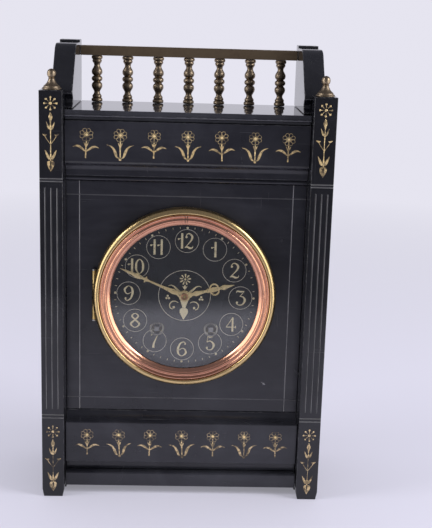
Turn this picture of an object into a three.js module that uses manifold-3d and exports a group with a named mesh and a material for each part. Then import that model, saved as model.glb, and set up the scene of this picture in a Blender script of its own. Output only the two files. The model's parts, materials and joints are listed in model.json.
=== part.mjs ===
// A late Victorian black slate mantel clock: slab case with fluted pilasters, brass gallery,
// hinged bezel over a black dial, and an eight-day movement that goes and strikes on a bell.
// Millimetres, +Z up, front towards -Y. The origin is on the table under the middle of the clock.
import * as THREE from "three";
import { mergeVertices } from "three/addons/utils/BufferGeometryUtils.js";
import Module from "manifold-3d";

const wasm = await Module();
wasm.setup();

// ---------------------------------------------------------------- driving dimensions

const SEAM = 0.3; // left between any two pieces that bear on each other
const RUNNING = 0.35; // radial clearance of an arbor in its hole

const OVERALL_WIDTH = 210.7; // over the pilasters
const CASE_HEIGHT = 293.6; // table to the top of the shelf
const CASE_DEPTH = 90; // pilaster fronts to the outside of the back panel
const OVERALL_DEPTH = CASE_DEPTH + 5.5; // to the rear door's knob
const SIDE_THICKNESS = 9.85;
const BACK_THICKNESS = 8;

const PILASTER_WIDTH = 16.5;
const PILASTER_DEPTH = 16.5;
const PILASTER_HEIGHT = CASE_HEIGHT + 14.1;
const FLUTE_BOTTOM = 70.7;
const FLUTE_TOP = CASE_HEIGHT - 54.9;
const LINE_WIDTH = 1.0; // incised lines and flutes
const LINE_DEPTH = 0.45;

const PLINTH_BOTTOM = 6; // height of the gap under the plinth slab
const PLINTH_TOP = 17.2;
const LOWER_FRIEZE_BOTTOM = 25.2;
const LOWER_FRIEZE_TOP = 57.3;
const PANEL_BOTTOM = 63.5;
const PANEL_TOP = CASE_HEIGHT - 52;
const UPPER_FRIEZE_BOTTOM = CASE_HEIGHT - 38.8;
const UPPER_FRIEZE_TOP = CASE_HEIGHT - 7.5;

const PLINTH_SETBACK = 7.5; // each face's distance behind the pilaster fronts
const LOWER_FRIEZE_SETBACK = 9;
const PANEL_SETBACK = 20.5;
const UPPER_FRIEZE_SETBACK = 11;
const SHELF_SETBACK = 10.5;
const PANEL_THICKNESS = 10;

const BRACKET_THICKNESS = 15.4;
const BRACKET_TOP = CASE_HEIGHT + 45.2;
const BRACKET_SCROLL_TOP = BRACKET_TOP + 1.8; // the raised roll at the rear
const BRACKET_REAR = CASE_DEPTH - 2;
const SHELF_REAR = CASE_DEPTH - 0.4;

const RAIL_HEIGHT = 7.3;
const RAIL_DEPTH = 9;
const RAIL_SETBACK = CASE_DEPTH - 9.5; // middle of the rail and of the balusters
const BALUSTER_COUNT = 7;
const BALUSTER_HEIGHT = 34.9;
const FINIAL_RADIUS = 6.8;

const DIAL_HEIGHT = (PANEL_BOTTOM + PANEL_TOP) / 2 + 3.05; // of the hands' arbor above the table
const DIAL_RADIUS = 60.5;
const DIAL_THICKNESS = 1.2;
const DIAL_SETBACK = 20.0;
const SIGHT_RADIUS = DIAL_RADIUS - 5; // inner edge of the sight ring
const BEZEL_RADIUS = DIAL_RADIUS + 7.9;
const BEZEL_FRONT = 10.0;
const HOOP_THICKNESS = 1.2;
const HINGE_LENGTH = 37.4;
const HINGE_BARREL_RADIUS = 1.6;
const HINGE_PIN_RADIUS = 0.7;

const WINDING_X = 20.5; // winding squares beside and below the hands' arbor
const WINDING_Z = -26.3;
const WINDING_HOLE_RADIUS = 5.0;
const WINDING_SQUARE = 3.4;

const PLATE_RADIUS = 46;
const PLATE_DROP = 10; // plate centre below the hands' arbor
const PLATE_THICKNESS = 2;
const FRONT_PLATE = 27; // front face, behind the pilaster fronts
const PLATE_GAP = 34;

const REAR_OPENING_RADIUS = 52;
const REAR_FLANGE_RADIUS = REAR_OPENING_RADIUS + 6;
const REAR_DOOR_RADIUS = REAR_OPENING_RADIUS + 3.5;
const REAR_HINGE_LENGTH = 26;

const HOUR_HAND_ANGLE = 75.9; // degrees clockwise from twelve
const MINUTE_HAND_ANGLE = -66.7;
const HOUR_HAND_LENGTH = 0.636 * DIAL_RADIUS;
const MINUTE_HAND_LENGTH = 0.871 * DIAL_RADIUS;

const PENDULUM_LENGTH = 140; // suspension to the middle of the bob
const BOB_RADIUS = 19;
const BOB_THICKNESS = 9;
const BELL_RADIUS = 32;

// ---------------------------------------------------------------- finishes

const finish = (color, roughness, metalness) =>
  new THREE.MeshStandardMaterial({ color, roughness, metalness, flatShading: true });

const SLATE = finish(0x24252b, 0.25, 0);
const BRASS = finish(0xb08d4a, 0.32, 1);
const OLD_BRASS = finish(0x6b5434, 0.4, 1);
const COPPER = finish(0xc07a5c, 0.3, 1);
const STEEL = finish(0x8d9096, 0.35, 1);
const BLUED = finish(0x2c3a5c, 0.3, 1);
const BELL_METAL = finish(0xc8b27a, 0.25, 1);
const ENAMEL = finish(0x17181d, 0.2, 0);
const GLASS = new THREE.MeshStandardMaterial({ color: 0xdfe8ea, transparent: true, opacity: 0.25 });

// ---------------------------------------------------------------- solids

// A closed geometry as a solid, whichever way round its faces were made.
function solid(geometry) {
  const bare = geometry.clone();
  bare.deleteAttribute("normal");
  bare.deleteAttribute("uv");
  const merged = mergeVertices(bare, 1e-4);
  const corner = merged.attributes.position;
  const kept = [];
  for (let i = 0; i < merged.index.count; i += 3) {
    const [a, b, c] = [0, 1, 2].map((k) => merged.index.getX(i + k));
    if (a !== b && b !== c && c !== a) kept.push([a, b, c]);
  }
  const point = (i) => new THREE.Vector3().fromBufferAttribute(corner, i);
  const volume = kept.reduce((sum, [a, b, c]) => sum + point(a).dot(point(b).cross(point(c))), 0);
  const triVerts = new Uint32Array(kept.flatMap(([a, b, c]) => (volume < 0 ? [a, c, b] : [a, b, c])));
  return new wasm.Manifold(
    new wasm.Mesh({ numProp: 3, vertProperties: new Float32Array(corner.array), triVerts }),
  );
}

const join = (first, ...others) => others.reduce((whole, one) => whole.add(one), first);
const cut = (first, ...others) => others.reduce((whole, one) => whole.subtract(one), first);

const outline = (points) => new THREE.Shape(points.map(([x, y]) => new THREE.Vector2(x, y)));

function extruded(shape, length) {
  return new THREE.ExtrudeGeometry(shape, { depth: length, bevelEnabled: false, curveSegments: 12 });
}

// The outline lies in (x, z) and is carried through the depth.
function alongY(shape, front, rear) {
  return solid(extruded(shape, rear - front).rotateX(Math.PI / 2).translate(0, rear, 0));
}

// The outline lies in (depth, z) and is carried across the width.
function alongX(shape, left, right) {
  const turn = new THREE.Matrix4().set(0, 0, 1, 0, 1, 0, 0, 0, 0, 1, 0, 0, 0, 0, 0, 1);
  return solid(extruded(shape, right - left).applyMatrix4(turn).translate(left, 0, 0));
}

// The outline lies in (x, depth) and is carried upwards.
const alongZ = (shape, bottom, top) => solid(extruded(shape, top - bottom).translate(0, 0, bottom));

function block(x0, x1, y0, y1, z0, z1) {
  const box = new THREE.BoxGeometry(x1 - x0, y1 - y0, z1 - z0);
  return solid(box.translate((x0 + x1) / 2, (y0 + y1) / 2, (z0 + z1) / 2));
}

// A profile of (radius, depth) pairs turned about the Y axis.
function turnedY(profile, sides) {
  return solid(new THREE.LatheGeometry(profile.map(([r, y]) => new THREE.Vector2(r, y)), sides));
}

// A profile of (radius, height) pairs turned about the Z axis.
function turnedZ(profile, sides) {
  const lathe = new THREE.LatheGeometry(profile.map(([r, z]) => new THREE.Vector2(r, z)), sides);
  return solid(lathe.rotateX(Math.PI / 2));
}

const closed = (profile) => [...profile, profile[0]];
const rod = (radius, front, rear, sides = 12) =>
  turnedY([[0, front], [radius, front], [radius, rear], [0, rear]], sides);
const post = (radius, bottom, top, sides = 12) =>
  turnedZ([[0, bottom], [radius, bottom], [radius, top], [0, top]], sides);

// Points of an arc from one angle to another, in degrees anticlockwise from +x.
function arc(cx, cy, radius, from, to, steps, squash = 1) {
  return Array.from({ length: steps + 1 }, (_, i) => {
    const angle = THREE.MathUtils.degToRad(from + ((to - from) * i) / steps);
    return [cx + radius * Math.cos(angle), cy + radius * squash * Math.sin(angle)];
  });
}

const clock = new THREE.Group();
const caseGroup = new THREE.Group(); // y = 0 at the pilaster fronts
const dialGroup = new THREE.Group(); // the same, with z = 0 at the hands' arbor
caseGroup.position.y = -OVERALL_DEPTH / 2;
dialGroup.position.set(0, -OVERALL_DEPTH / 2, DIAL_HEIGHT);
clock.add(caseGroup, dialGroup);

function add(name, shape, material, group = caseGroup) {
  const made = shape.getMesh();
  const geometry = new THREE.BufferGeometry();
  geometry.setAttribute("position", new THREE.BufferAttribute(made.vertProperties, 3));
  geometry.setIndex(new THREE.BufferAttribute(made.triVerts, 1));
  const mesh = new THREE.Mesh(geometry, material);
  mesh.name = name;
  group.add(mesh);
  return mesh;
}

// ---------------------------------------------------------------- slate case

const postInner = OVERALL_WIDTH / 2 - PILASTER_WIDTH; // inner faces of pilasters and side panels
const caseHalf = postInner + SIDE_THICKNESS;
const span = postInner - SEAM; // half length of what fits between the pilasters
const behindPosts = PILASTER_DEPTH + SEAM;
const backFace = CASE_DEPTH - BACK_THICKNESS; // inner face of the back panel
const panelRear = PANEL_SETBACK + PANEL_THICKNESS;

// A V-shaped groove on a face at this depth, from one (x, z) to another.
function groove(x0, z0, x1, z1, face) {
  const half = LINE_WIDTH / 2;
  const lip = 0.2; // stands clear of the face, so that the cut is clean
  if (x0 === x1) {
    const section = outline([[x0 - half, face - lip], [x0 + half, face - lip], [x0 + half, face],
      [x0, face + LINE_DEPTH], [x0 - half, face]]);
    return alongZ(section, z0, z1);
  }
  const section = outline([[face - lip, z0 - half], [face, z0 - half], [face + LINE_DEPTH, z0],
    [face, z0 + half], [face - lip, z0 + half]]);
  return alongX(section, x0, x1);
}

function plinthSlab() {
  const arris = 1.4;
  const section = outline([
    [PLINTH_SETBACK, PLINTH_BOTTOM],
    [backFace - SEAM, PLINTH_BOTTOM],
    [backFace - SEAM, PLINTH_TOP],
    [PLINTH_SETBACK + arris, PLINTH_TOP],
    [PLINTH_SETBACK, PLINTH_TOP - arris],
  ]);
  return alongX(section, -span, span);
}

function lowerFrieze() {
  const recess = LOWER_FRIEZE_SETBACK + 5;
  const arris = 0.8;
  const coveFront = LOWER_FRIEZE_SETBACK + arris;
  const coveRear = PANEL_SETBACK - SEAM;
  const coveDepth = coveRear - coveFront;
  const coveRise = PANEL_BOTTOM - SEAM - LOWER_FRIEZE_TOP;
  const section = outline([
    [recess, PLINTH_TOP + SEAM],
    [recess, LOWER_FRIEZE_BOTTOM - arris],
    [LOWER_FRIEZE_SETBACK, LOWER_FRIEZE_BOTTOM],
    [LOWER_FRIEZE_SETBACK, LOWER_FRIEZE_TOP - arris],
    ...arc(coveFront, LOWER_FRIEZE_TOP + coveRise, coveDepth, -90, 0, 6, coveRise / coveDepth),
    [panelRear, PANEL_BOTTOM - SEAM],
    [panelRear, PLINTH_TOP + SEAM],
  ]);
  return alongX(section, -span, span);
}

const FRAME_LINE_X = postInner - 10.35; // upright incised lines of the front panel
const FRAME_LINE_LOW = PANEL_BOTTOM + 10.1;
const FRAME_LINE_HIGH = PANEL_TOP - 10.5;

function frontPanel() {
  const top = PANEL_TOP - SEAM;
  const slab = block(-span, span, PANEL_SETBACK, panelRear, PANEL_BOTTOM, top);
  const opening = rod(BEZEL_RADIUS - 6.2, PANEL_SETBACK - 1, panelRear + 1, 40).translate(0, 0, DIAL_HEIGHT);
  return cut(
    slab,
    opening,
    groove(-FRAME_LINE_X, PANEL_BOTTOM - 1, -FRAME_LINE_X, top + 1, PANEL_SETBACK),
    groove(FRAME_LINE_X, PANEL_BOTTOM - 1, FRAME_LINE_X, top + 1, PANEL_SETBACK),
    groove(-span - 1, FRAME_LINE_LOW, span + 1, FRAME_LINE_LOW, PANEL_SETBACK),
    groove(-span - 1, FRAME_LINE_HIGH, span + 1, FRAME_LINE_HIGH, PANEL_SETBACK),
  );
}

function upperFrieze() {
  const face = UPPER_FRIEZE_SETBACK;
  const fillet = face + 6.3; // flat band below the cove
  const coveRise = 5.2;
  const coveTop = UPPER_FRIEZE_BOTTOM - 0.2;
  const coveStart = face + 2;
  const beadTop = PANEL_TOP + 3;
  const section = outline([
    [face, UPPER_FRIEZE_TOP],
    [face, UPPER_FRIEZE_BOTTOM + 0.6],
    [face + 0.6, UPPER_FRIEZE_BOTTOM],
    ...arc(coveStart, coveTop - coveRise, fillet - coveStart, 90, 0, 5, coveRise / (fillet - coveStart)),
    [fillet, beadTop + 1],
    [fillet + 2.2, beadTop + 0.6],
    ...arc(fillet + 2.2, beadTop - 1.35, 1.35, 90, 270, 5),
    [PANEL_SETBACK - SEAM, PANEL_TOP],
    [panelRear, PANEL_TOP],
    [panelRear, UPPER_FRIEZE_TOP],
  ]);
  const line = groove(-span - 1, UPPER_FRIEZE_BOTTOM + 1.6, span + 1, UPPER_FRIEZE_BOTTOM + 1.6, face);
  return cut(alongX(section, -span, span), line);
}

function topSlab() {
  const under = UPPER_FRIEZE_TOP + SEAM;
  const bead = SHELF_SETBACK - 1.1;
  const rebate = UPPER_FRIEZE_SETBACK + 2.5;
  const lip = CASE_HEIGHT - 3;
  const nose = outline([
    [SHELF_SETBACK, CASE_HEIGHT],
    [SHELF_SETBACK, lip],
    [bead, lip - 0.6],
    [bead, lip - 1.2],
    [SHELF_SETBACK - 0.4, lip - 1.9],
    [rebate, lip - 2],
    [rebate, under],
    [behindPosts + 0.5, under],
    [behindPosts + 0.5, CASE_HEIGHT],
  ]);
  const slab = block(-caseHalf, caseHalf, behindPosts, SHELF_REAR, under, CASE_HEIGHT);
  return join(slab, alongX(nose, -span, span));
}

function backPanel() {
  const slab = block(-span, span, backFace, CASE_DEPTH, PLINTH_BOTTOM, UPPER_FRIEZE_TOP);
  const opening = rod(REAR_OPENING_RADIUS, backFace - 1, CASE_DEPTH + 1, 40);
  return cut(slab, opening.translate(0, 0, DIAL_HEIGHT));
}

function pilaster(side) {
  const x0 = side < 0 ? -OVERALL_WIDTH / 2 : postInner;
  const chamfer = 1.2;
  const foot = outline([
    [x0 + chamfer, 0], [x0 + PILASTER_WIDTH - chamfer, 0], [x0 + PILASTER_WIDTH, 5 * chamfer],
    [x0 + PILASTER_WIDTH, PILASTER_HEIGHT], [x0, PILASTER_HEIGHT], [x0, 5 * chamfer],
  ]);
  const flutes = [0.237, 0.5, 0.763].map((share) => {
    const x = x0 + share * PILASTER_WIDTH;
    return groove(x, FLUTE_BOTTOM, x, FLUTE_TOP, 0);
  });
  const bands = [FLUTE_BOTTOM - 4.3, FLUTE_BOTTOM - 6.8, FLUTE_TOP + 4.8, FLUTE_TOP + 6.8].map((z) =>
    groove(x0 - 1, z, x0 + PILASTER_WIDTH + 1, z, 0),
  );
  return cut(alongY(foot, 0, PILASTER_DEPTH), ...flutes, ...bands);
}

// A console whose face sweeps back and up from a coved foot to a rolled top.
function scrollBracket() {
  const foot = CASE_HEIGHT + SEAM;
  const nose = behindPosts;
  const shape = new THREE.Shape();
  shape.moveTo(nose, foot);
  shape.lineTo(BRACKET_REAR, foot);
  shape.lineTo(BRACKET_REAR, BRACKET_SCROLL_TOP);
  shape.lineTo(BRACKET_REAR - 13.5, BRACKET_SCROLL_TOP);
  shape.lineTo(BRACKET_REAR - 13.5, BRACKET_TOP);
  shape.lineTo(nose + 36, BRACKET_TOP);
  shape.quadraticCurveTo(nose + 27.5, BRACKET_TOP, nose + 23.4, BRACKET_TOP - 5.2);
  shape.bezierCurveTo(nose + 15, BRACKET_TOP - 16, nose + 4, foot + 18, nose + 0.1, foot + 12.4);
  shape.lineTo(nose + 0.1, foot + 10.6);
  shape.lineTo(nose + 1.4, foot + 9.4);
  shape.quadraticCurveTo(nose + 7.5, foot + 5.4, nose + 1.2, foot + 1.6);
  shape.lineTo(nose, foot + 1.2);
  return shape;
}

add("plinth_slab", plinthSlab(), SLATE);
add("lower_frieze", lowerFrieze(), SLATE);
add("front_panel", frontPanel(), SLATE);
add("upper_frieze", upperFrieze(), SLATE);
add("top_slab", topSlab(), SLATE);
add("back_panel", backPanel(), SLATE);

const bracketInner = caseHalf - BRACKET_THICKNESS;
const bracketShape = scrollBracket();
for (const [name, side] of [["left", -1], ["right", 1]]) {
  const edges = [side * postInner, side * caseHalf].sort((a, b) => a - b);
  add(`side_panel_${name}`, block(...edges, behindPosts, CASE_DEPTH, 0, UPPER_FRIEZE_TOP), SLATE);
  add(`pilaster_${name}`, pilaster(side), SLATE);
  const faces = [side * bracketInner, side * caseHalf].sort((a, b) => a - b);
  add(`scroll_bracket_${name}`, alongX(bracketShape, ...faces), SLATE);
}

// ---------------------------------------------------------------- gallery and finials

const balusterFoot = CASE_HEIGHT + SEAM;
const railBottom = balusterFoot + BALUSTER_HEIGHT + SEAM;
const railEnd = bracketInner - SEAM;

// Radius along the height, alike above and below the middle ring.
const BALUSTER_PROFILE = [
  [0, 0], [4.2, 0], [4.4, 1.6], [3.2, 3.4], [2.35, 6.6], [3.1, 9.1], [4.25, 11.9], [3.9, 14], [2.75, 15.2],
  [4.0, 16.4],
];

function baluster() {
  const half = BALUSTER_HEIGHT / 2;
  const scale = half / 17.45; // the profile is drawn for a half height of 17.45
  const lower = BALUSTER_PROFILE.map(([r, z]) => [r, z * scale]);
  const upper = lower.map(([r, z]) => [r, BALUSTER_HEIGHT - z]).reverse();
  return turnedZ([...lower, [4.45, half], ...upper], 10);
}

const rail = outline([
  [RAIL_SETBACK - RAIL_DEPTH / 2, railBottom],
  [RAIL_SETBACK + RAIL_DEPTH / 2, railBottom],
  [RAIL_SETBACK + RAIL_DEPTH / 2, railBottom + RAIL_HEIGHT - 0.8],
  [RAIL_SETBACK + RAIL_DEPTH / 2 - 0.8, railBottom + RAIL_HEIGHT],
  [RAIL_SETBACK - RAIL_DEPTH / 2 + 0.8, railBottom + RAIL_HEIGHT],
  [RAIL_SETBACK - RAIL_DEPTH / 2, railBottom + RAIL_HEIGHT - 0.8],
]);
add("gallery_rail", alongX(rail, -railEnd, railEnd), OLD_BRASS);

const balusterSolid = baluster();
const balusterSpacing = (2 * railEnd - 0.8) / BALUSTER_COUNT;
for (let i = 0; i < BALUSTER_COUNT; i++) {
  const x = (i - (BALUSTER_COUNT - 1) / 2) * balusterSpacing;
  add(`baluster_${i + 1}`, balusterSolid, OLD_BRASS).position.set(x, RAIL_SETBACK, balusterFoot);
}

const finial = turnedZ(
  [
    [0, 0], [FINIAL_RADIUS, 0], [FINIAL_RADIUS, 0.9], [5.7, 1.8], [5.4, 2.7], [2.9, 4.6], [1.7, 8.2],
    ...arc(0, 11.2, 3.1, -50, 60, 4), [0, 14.3],
  ],
  14,
);
const postMiddle = OVERALL_WIDTH / 2 - PILASTER_WIDTH / 2;
for (const [name, side] of [["left", -1], ["right", 1]]) {
  const mesh = add(`finial_${name}`, finial, OLD_BRASS);
  mesh.position.set(side * postMiddle, PILASTER_DEPTH / 2, PILASTER_HEIGHT + SEAM);
}

// ---------------------------------------------------------------- bezel

const RING_SIDES = 40;
const hingeX = -(BEZEL_RADIUS - 0.8); // axis of the bezel's hinge
const hingeDepth = 17.0;
const hingeHalf = HINGE_LENGTH / 2;
const doorKnuckleHalf = 8.5;
const mountOuter = BEZEL_RADIUS - HOOP_THICKNESS - SEAM;
const mountInner = mountOuter - 1.3;
const panelFace = PANEL_SETBACK - SEAM; // rear of what lies on the front panel
const spigotOuter = BEZEL_RADIUS - 6.2 - SEAM;
const spigotInner = DIAL_RADIUS + SEAM;
const dialRear = DIAL_SETBACK + DIAL_THICKNESS;
const frontPlateRear = FRONT_PLATE + PLATE_THICKNESS;
const backPlate = frontPlateRear + PLATE_GAP; // front face of the back plate
const backPlateRear = backPlate + PLATE_THICKNESS;

const hingeBarrel = (bottom, top) =>
  turnedZ(closed([[HINGE_PIN_RADIUS + RUNNING, bottom], [HINGE_BARREL_RADIUS, bottom],
    [HINGE_BARREL_RADIUS, top], [HINGE_PIN_RADIUS + RUNNING, top]]), 10).translate(hingeX, hingeDepth, 0);

function bezelMount() {
  const ring = turnedY(
    closed([
      [spigotInner, panelFace - 1.2], [mountInner, panelFace - 1.2], [mountInner, 15.8], [mountOuter, 15.8],
      [mountOuter, panelFace], [spigotOuter, panelFace], [spigotOuter, 23], [spigotInner - 2.5, 23],
      [spigotInner - 2.5, dialRear + SEAM], [spigotInner, dialRear + SEAM],
    ]),
    RING_SIDES,
  );
  const strapRear = backFace - SEAM;
  const straps = [-1, 1].map((side) => {
    const outer = side * (spigotOuter - 0.3);
    const inner = side * (spigotInner - 2);
    const bar = block(Math.min(outer, inner), Math.max(outer, inner), 22, strapRear, -6, 6);
    const footEnd = side * (REAR_OPENING_RADIUS - 4);
    const foot = block(Math.min(outer, footEnd), Math.max(outer, footEnd), strapRear - 1.5, strapRear, -6, 6);
    const lugEnd = side * (PLATE_RADIUS - 8);
    const lug = block(Math.min(outer, lugEnd), Math.max(outer, lugEnd), FRONT_PLATE - SEAM - 1.5,
      FRONT_PLATE - SEAM, -4, 4);
    return join(bar, foot, lug);
  });
  const notch = block(-BEZEL_RADIUS - 2, hingeX + 3.4, 14, panelFace - 2.6, -hingeHalf - 0.5, hingeHalf + 0.5);
  const room = block(-BEZEL_RADIUS - 2, hingeX + 3.4, 14, panelFace + 0.5, -doorKnuckleHalf - SEAM,
    doorKnuckleHalf + SEAM);
  const knuckles = [-1, 1].map((side) => {
    const [low, high] = [side * (doorKnuckleHalf + SEAM), side * hingeHalf].sort((a, b) => a - b);
    const leaf = block(hingeX - 0.4, hingeX + 4.5, hingeDepth + 1.1, panelFace, low, high);
    return join(leaf, hingeBarrel(low, high));
  });
  const bore = post(HINGE_PIN_RADIUS + RUNNING, -hingeHalf - 1, hingeHalf + 1, 10)
    .translate(hingeX, hingeDepth, 0);
  return cut(join(cut(join(ring, ...straps), notch, room), ...knuckles), bore);
}

function bezelRing() {
  const outer = BEZEL_RADIUS;
  const inner = outer - HOOP_THICKNESS;
  const sightSeat = SIGHT_RADIUS + 8.2;
  const ring = turnedY(
    closed([
      [sightSeat, BEZEL_FRONT + 1.9], [sightSeat, BEZEL_FRONT + 0.7], [outer - 4.1, BEZEL_FRONT + 0.1],
      [outer - 2.6, BEZEL_FRONT], [outer - 0.9, BEZEL_FRONT + 0.6], [outer, BEZEL_FRONT + 1.9], [outer, 18],
      [inner, 18], [inner, BEZEL_FRONT + 2.9], [sightSeat + 1.6, BEZEL_FRONT + 2.5],
      [sightSeat + 1.6, BEZEL_FRONT + 1.9],
    ]),
    RING_SIDES,
  );
  const notch = block(-outer - 2, hingeX + 4.5, 14.5, 20, -hingeHalf - 0.5, hingeHalf + 0.5);
  const leaf = block(hingeX - 0.5, hingeX + 1.5, 12.6, hingeDepth - 1.1, -doorKnuckleHalf, doorKnuckleHalf);
  const bore = post(HINGE_PIN_RADIUS + RUNNING, -hingeHalf - 1, hingeHalf + 1, 10)
    .translate(hingeX, hingeDepth, 0);
  return cut(join(cut(ring, notch), leaf, hingeBarrel(-doorKnuckleHalf, doorKnuckleHalf)), bore);
}

function sightRing() {
  const r = SIGHT_RADIUS;
  const f = BEZEL_FRONT;
  return turnedY(
    closed([
      [r + 7.9, f + 0.9], [r + 7.4, f + 0.3], [r + 6.2, f + 0.5], [r + 5.6, f + 1.3], [r + 4.2, f + 1.5],
      [r + 3.3, f + 1.1], [r + 2.3, f + 1.6], [r + 1.7, f + 2.6], [r + 0.6, f + 3.0], [r, f + 3.8],
      [r, f + 4.3], [r + 5.5, f + 4.3], [r + 7.9, f + 2.2],
    ]),
    RING_SIDES,
  );
}

const glassFront = BEZEL_FRONT + 4.3 + SEAM;
const glassRear = glassFront + 1.0;
const pinHead = hingeHalf + SEAM;

function bezelHingePin() {
  const shank = post(HINGE_PIN_RADIUS, -pinHead - 0.4, pinHead + 0.4, 8);
  const heads = [-1, 1].map((side) => {
    const [low, high] = [side * pinHead, side * (pinHead + 0.8)].sort((a, b) => a - b);
    return post(HINGE_BARREL_RADIUS, low, high, 8);
  });
  return join(shank, ...heads).translate(hingeX, hingeDepth, 0);
}

add("bezel_mount", bezelMount(), BRASS, dialGroup);
add("bezel_ring", bezelRing(), BRASS, dialGroup);
add("sight_ring", sightRing(), COPPER, dialGroup);
add("bezel_glass", rod(SIGHT_RADIUS + 9, glassFront, glassRear, RING_SIDES), GLASS, dialGroup);
add("bezel_hinge_pin", bezelHingePin(), STEEL, dialGroup);

// ---------------------------------------------------------------- dial and hands

const HOUR_PIPE_RADIUS = 3.0;
const HOUR_HAND_FRONT = 18.2; // each hand's front face, behind the pilaster fronts
const MINUTE_HAND_FRONT = 17.0;
const HAND_THICKNESS = 0.5;
const ARBOR_RADIUS = 0.9;

function dialPlate() {
  const feet = [[-26, 18], [26, 18], [0, -38]].map(([x, z]) =>
    rod(2, dialRear - 0.5, FRONT_PLATE - SEAM, 8).translate(x, 0, z),
  );
  const holes = [-1, 1].map((side) =>
    rod(WINDING_HOLE_RADIUS, DIAL_SETBACK - 1, dialRear + 1, 20).translate(side * WINDING_X, 0, WINDING_Z),
  );
  const centre = rod(HOUR_PIPE_RADIUS + 0.6, DIAL_SETBACK - 1, dialRear + 1, 16);
  return cut(join(rod(DIAL_RADIUS, DIAL_SETBACK, dialRear, RING_SIDES), ...feet), centre, ...holes);
}

const collet = turnedY(
  closed([
    [WINDING_HOLE_RADIUS - 1.2, DIAL_SETBACK - 0.6], [WINDING_HOLE_RADIUS + 0.2, DIAL_SETBACK - 0.8],
    [WINDING_HOLE_RADIUS + 0.6, DIAL_SETBACK - SEAM], [WINDING_HOLE_RADIUS - 0.35, DIAL_SETBACK - SEAM],
    [WINDING_HOLE_RADIUS - 0.35, dialRear + 0.6], [WINDING_HOLE_RADIUS - 1.2, dialRear + 0.6],
  ]),
  16,
);

// Half outlines of the hands: width to one side against distance from the arbor.
const MINUTE_HAND = [
  [0, 52.7], [0.35, 51.5], [0.75, 43], [1.75, 38.6], [0.8, 34.4], [0.8, 33.2], [2.3, 32.6], [2.3, 31.4],
  [0.7, 30.8], [0.75, 20], [1.9, 9], [1.2, 6.2], [2.6, 3.6],
];
const HOUR_HAND = [
  [0, 38.5], [0.45, 36.5], [1.7, 30.5], [0.9, 27.6], [1.1, 26.6], [3.5, 25.4], [4.6, 23.2], [4.1, 21],
  [2.6, 20.2], [1.5, 19.4], [2.1, 18.2], [0.9, 17.2], [1.0, 14.5], [2.0, 9], [1.2, 6.4], [3.0, 4],
];

// A pierced hand: its outline mirrored about its length, round its hub.
function hand(half, length, hubRadius, hole, front, angle, windows = []) {
  const stretch = length / half[0][1];
  const right = half.map(([x, z]) => [x, z * stretch]);
  const left = right.slice(1).map(([x, z]) => [-x, z]).reverse();
  const blade = alongY(outline([...right, [2, 0], [-2, 0], ...left]), front, front + HAND_THICKNESS);
  const pierced = cut(blade, ...windows.map(([x, z, r]) =>
    rod(r, front - 1, front + HAND_THICKNESS + 1, 10).translate(x, 0, z * stretch),
  ));
  const hub = rod(hubRadius, front, front + HAND_THICKNESS, 16);
  return cut(join(pierced, hub), rod(hole, front - 1, front + 2, 10)).rotate([0, angle, 0]);
}

add("dial", dialPlate(), ENAMEL, dialGroup);
add("winding_collet_left", collet, OLD_BRASS, dialGroup).position.set(-WINDING_X, 0, WINDING_Z);
add("winding_collet_right", collet, OLD_BRASS, dialGroup).position.set(WINDING_X, 0, WINDING_Z);
add("hour_hand", hand(HOUR_HAND, HOUR_HAND_LENGTH, 4.4, 2.2, HOUR_HAND_FRONT, HOUR_HAND_ANGLE,
  [[-2.6, 23, 1.25], [2.6, 23, 1.25]]), BRASS, dialGroup);
add("minute_hand", hand(MINUTE_HAND, MINUTE_HAND_LENGTH, 3.9, ARBOR_RADIUS + RUNNING, MINUTE_HAND_FRONT,
  MINUTE_HAND_ANGLE), BRASS, dialGroup);

const handCollet = turnedY(
  closed([
    [ARBOR_RADIUS + RUNNING, MINUTE_HAND_FRONT - SEAM], [ARBOR_RADIUS + RUNNING, MINUTE_HAND_FRONT - 0.8],
    [1.9, MINUTE_HAND_FRONT - 0.8], [2.7, MINUTE_HAND_FRONT - SEAM],
  ]),
  14,
);
add("hand_collet", handCollet, BRASS, dialGroup);

// ---------------------------------------------------------------- wheels and pinions

const PIVOT_RADIUS = 0.7;

// Radial position of arbors, from the hands' arbor: x to the right seen from the front, z up.
const AT = {
  centre: [0, 0],
  goingBarrel: [WINDING_X, WINDING_Z],
  strikeBarrel: [-WINDING_X, WINDING_Z],
};

// Angle of a gear that brings it into mesh with a neighbour already set, both in radians.
function meshedAngle(neighbour, here) {
  const along = Math.atan2(here.at[1] - neighbour.at[1], here.at[0] - neighbour.at[0]);
  const share = ((along - neighbour.angle) * neighbour.teeth) / (2 * Math.PI);
  return along + Math.PI - (2 * Math.PI * (0.5 - share)) / here.teeth;
}

// Where two gears of one module stand apart.
const centreDistance = (module, a, b) => (module * (a + b)) / 2;

// The point at given distances from two others, on the side that the sign picks.
function meeting([ax, az], ra, [bx, bz], rb, side) {
  const [dx, dz] = [bx - ax, bz - az];
  const d = Math.hypot(dx, dz);
  const along = (d * d + ra * ra - rb * rb) / (2 * d);
  const across = side * Math.sqrt(ra * ra - along * along);
  return [ax + (along * dx - across * dz) / d, az + (along * dz + across * dx) / d];
}

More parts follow.
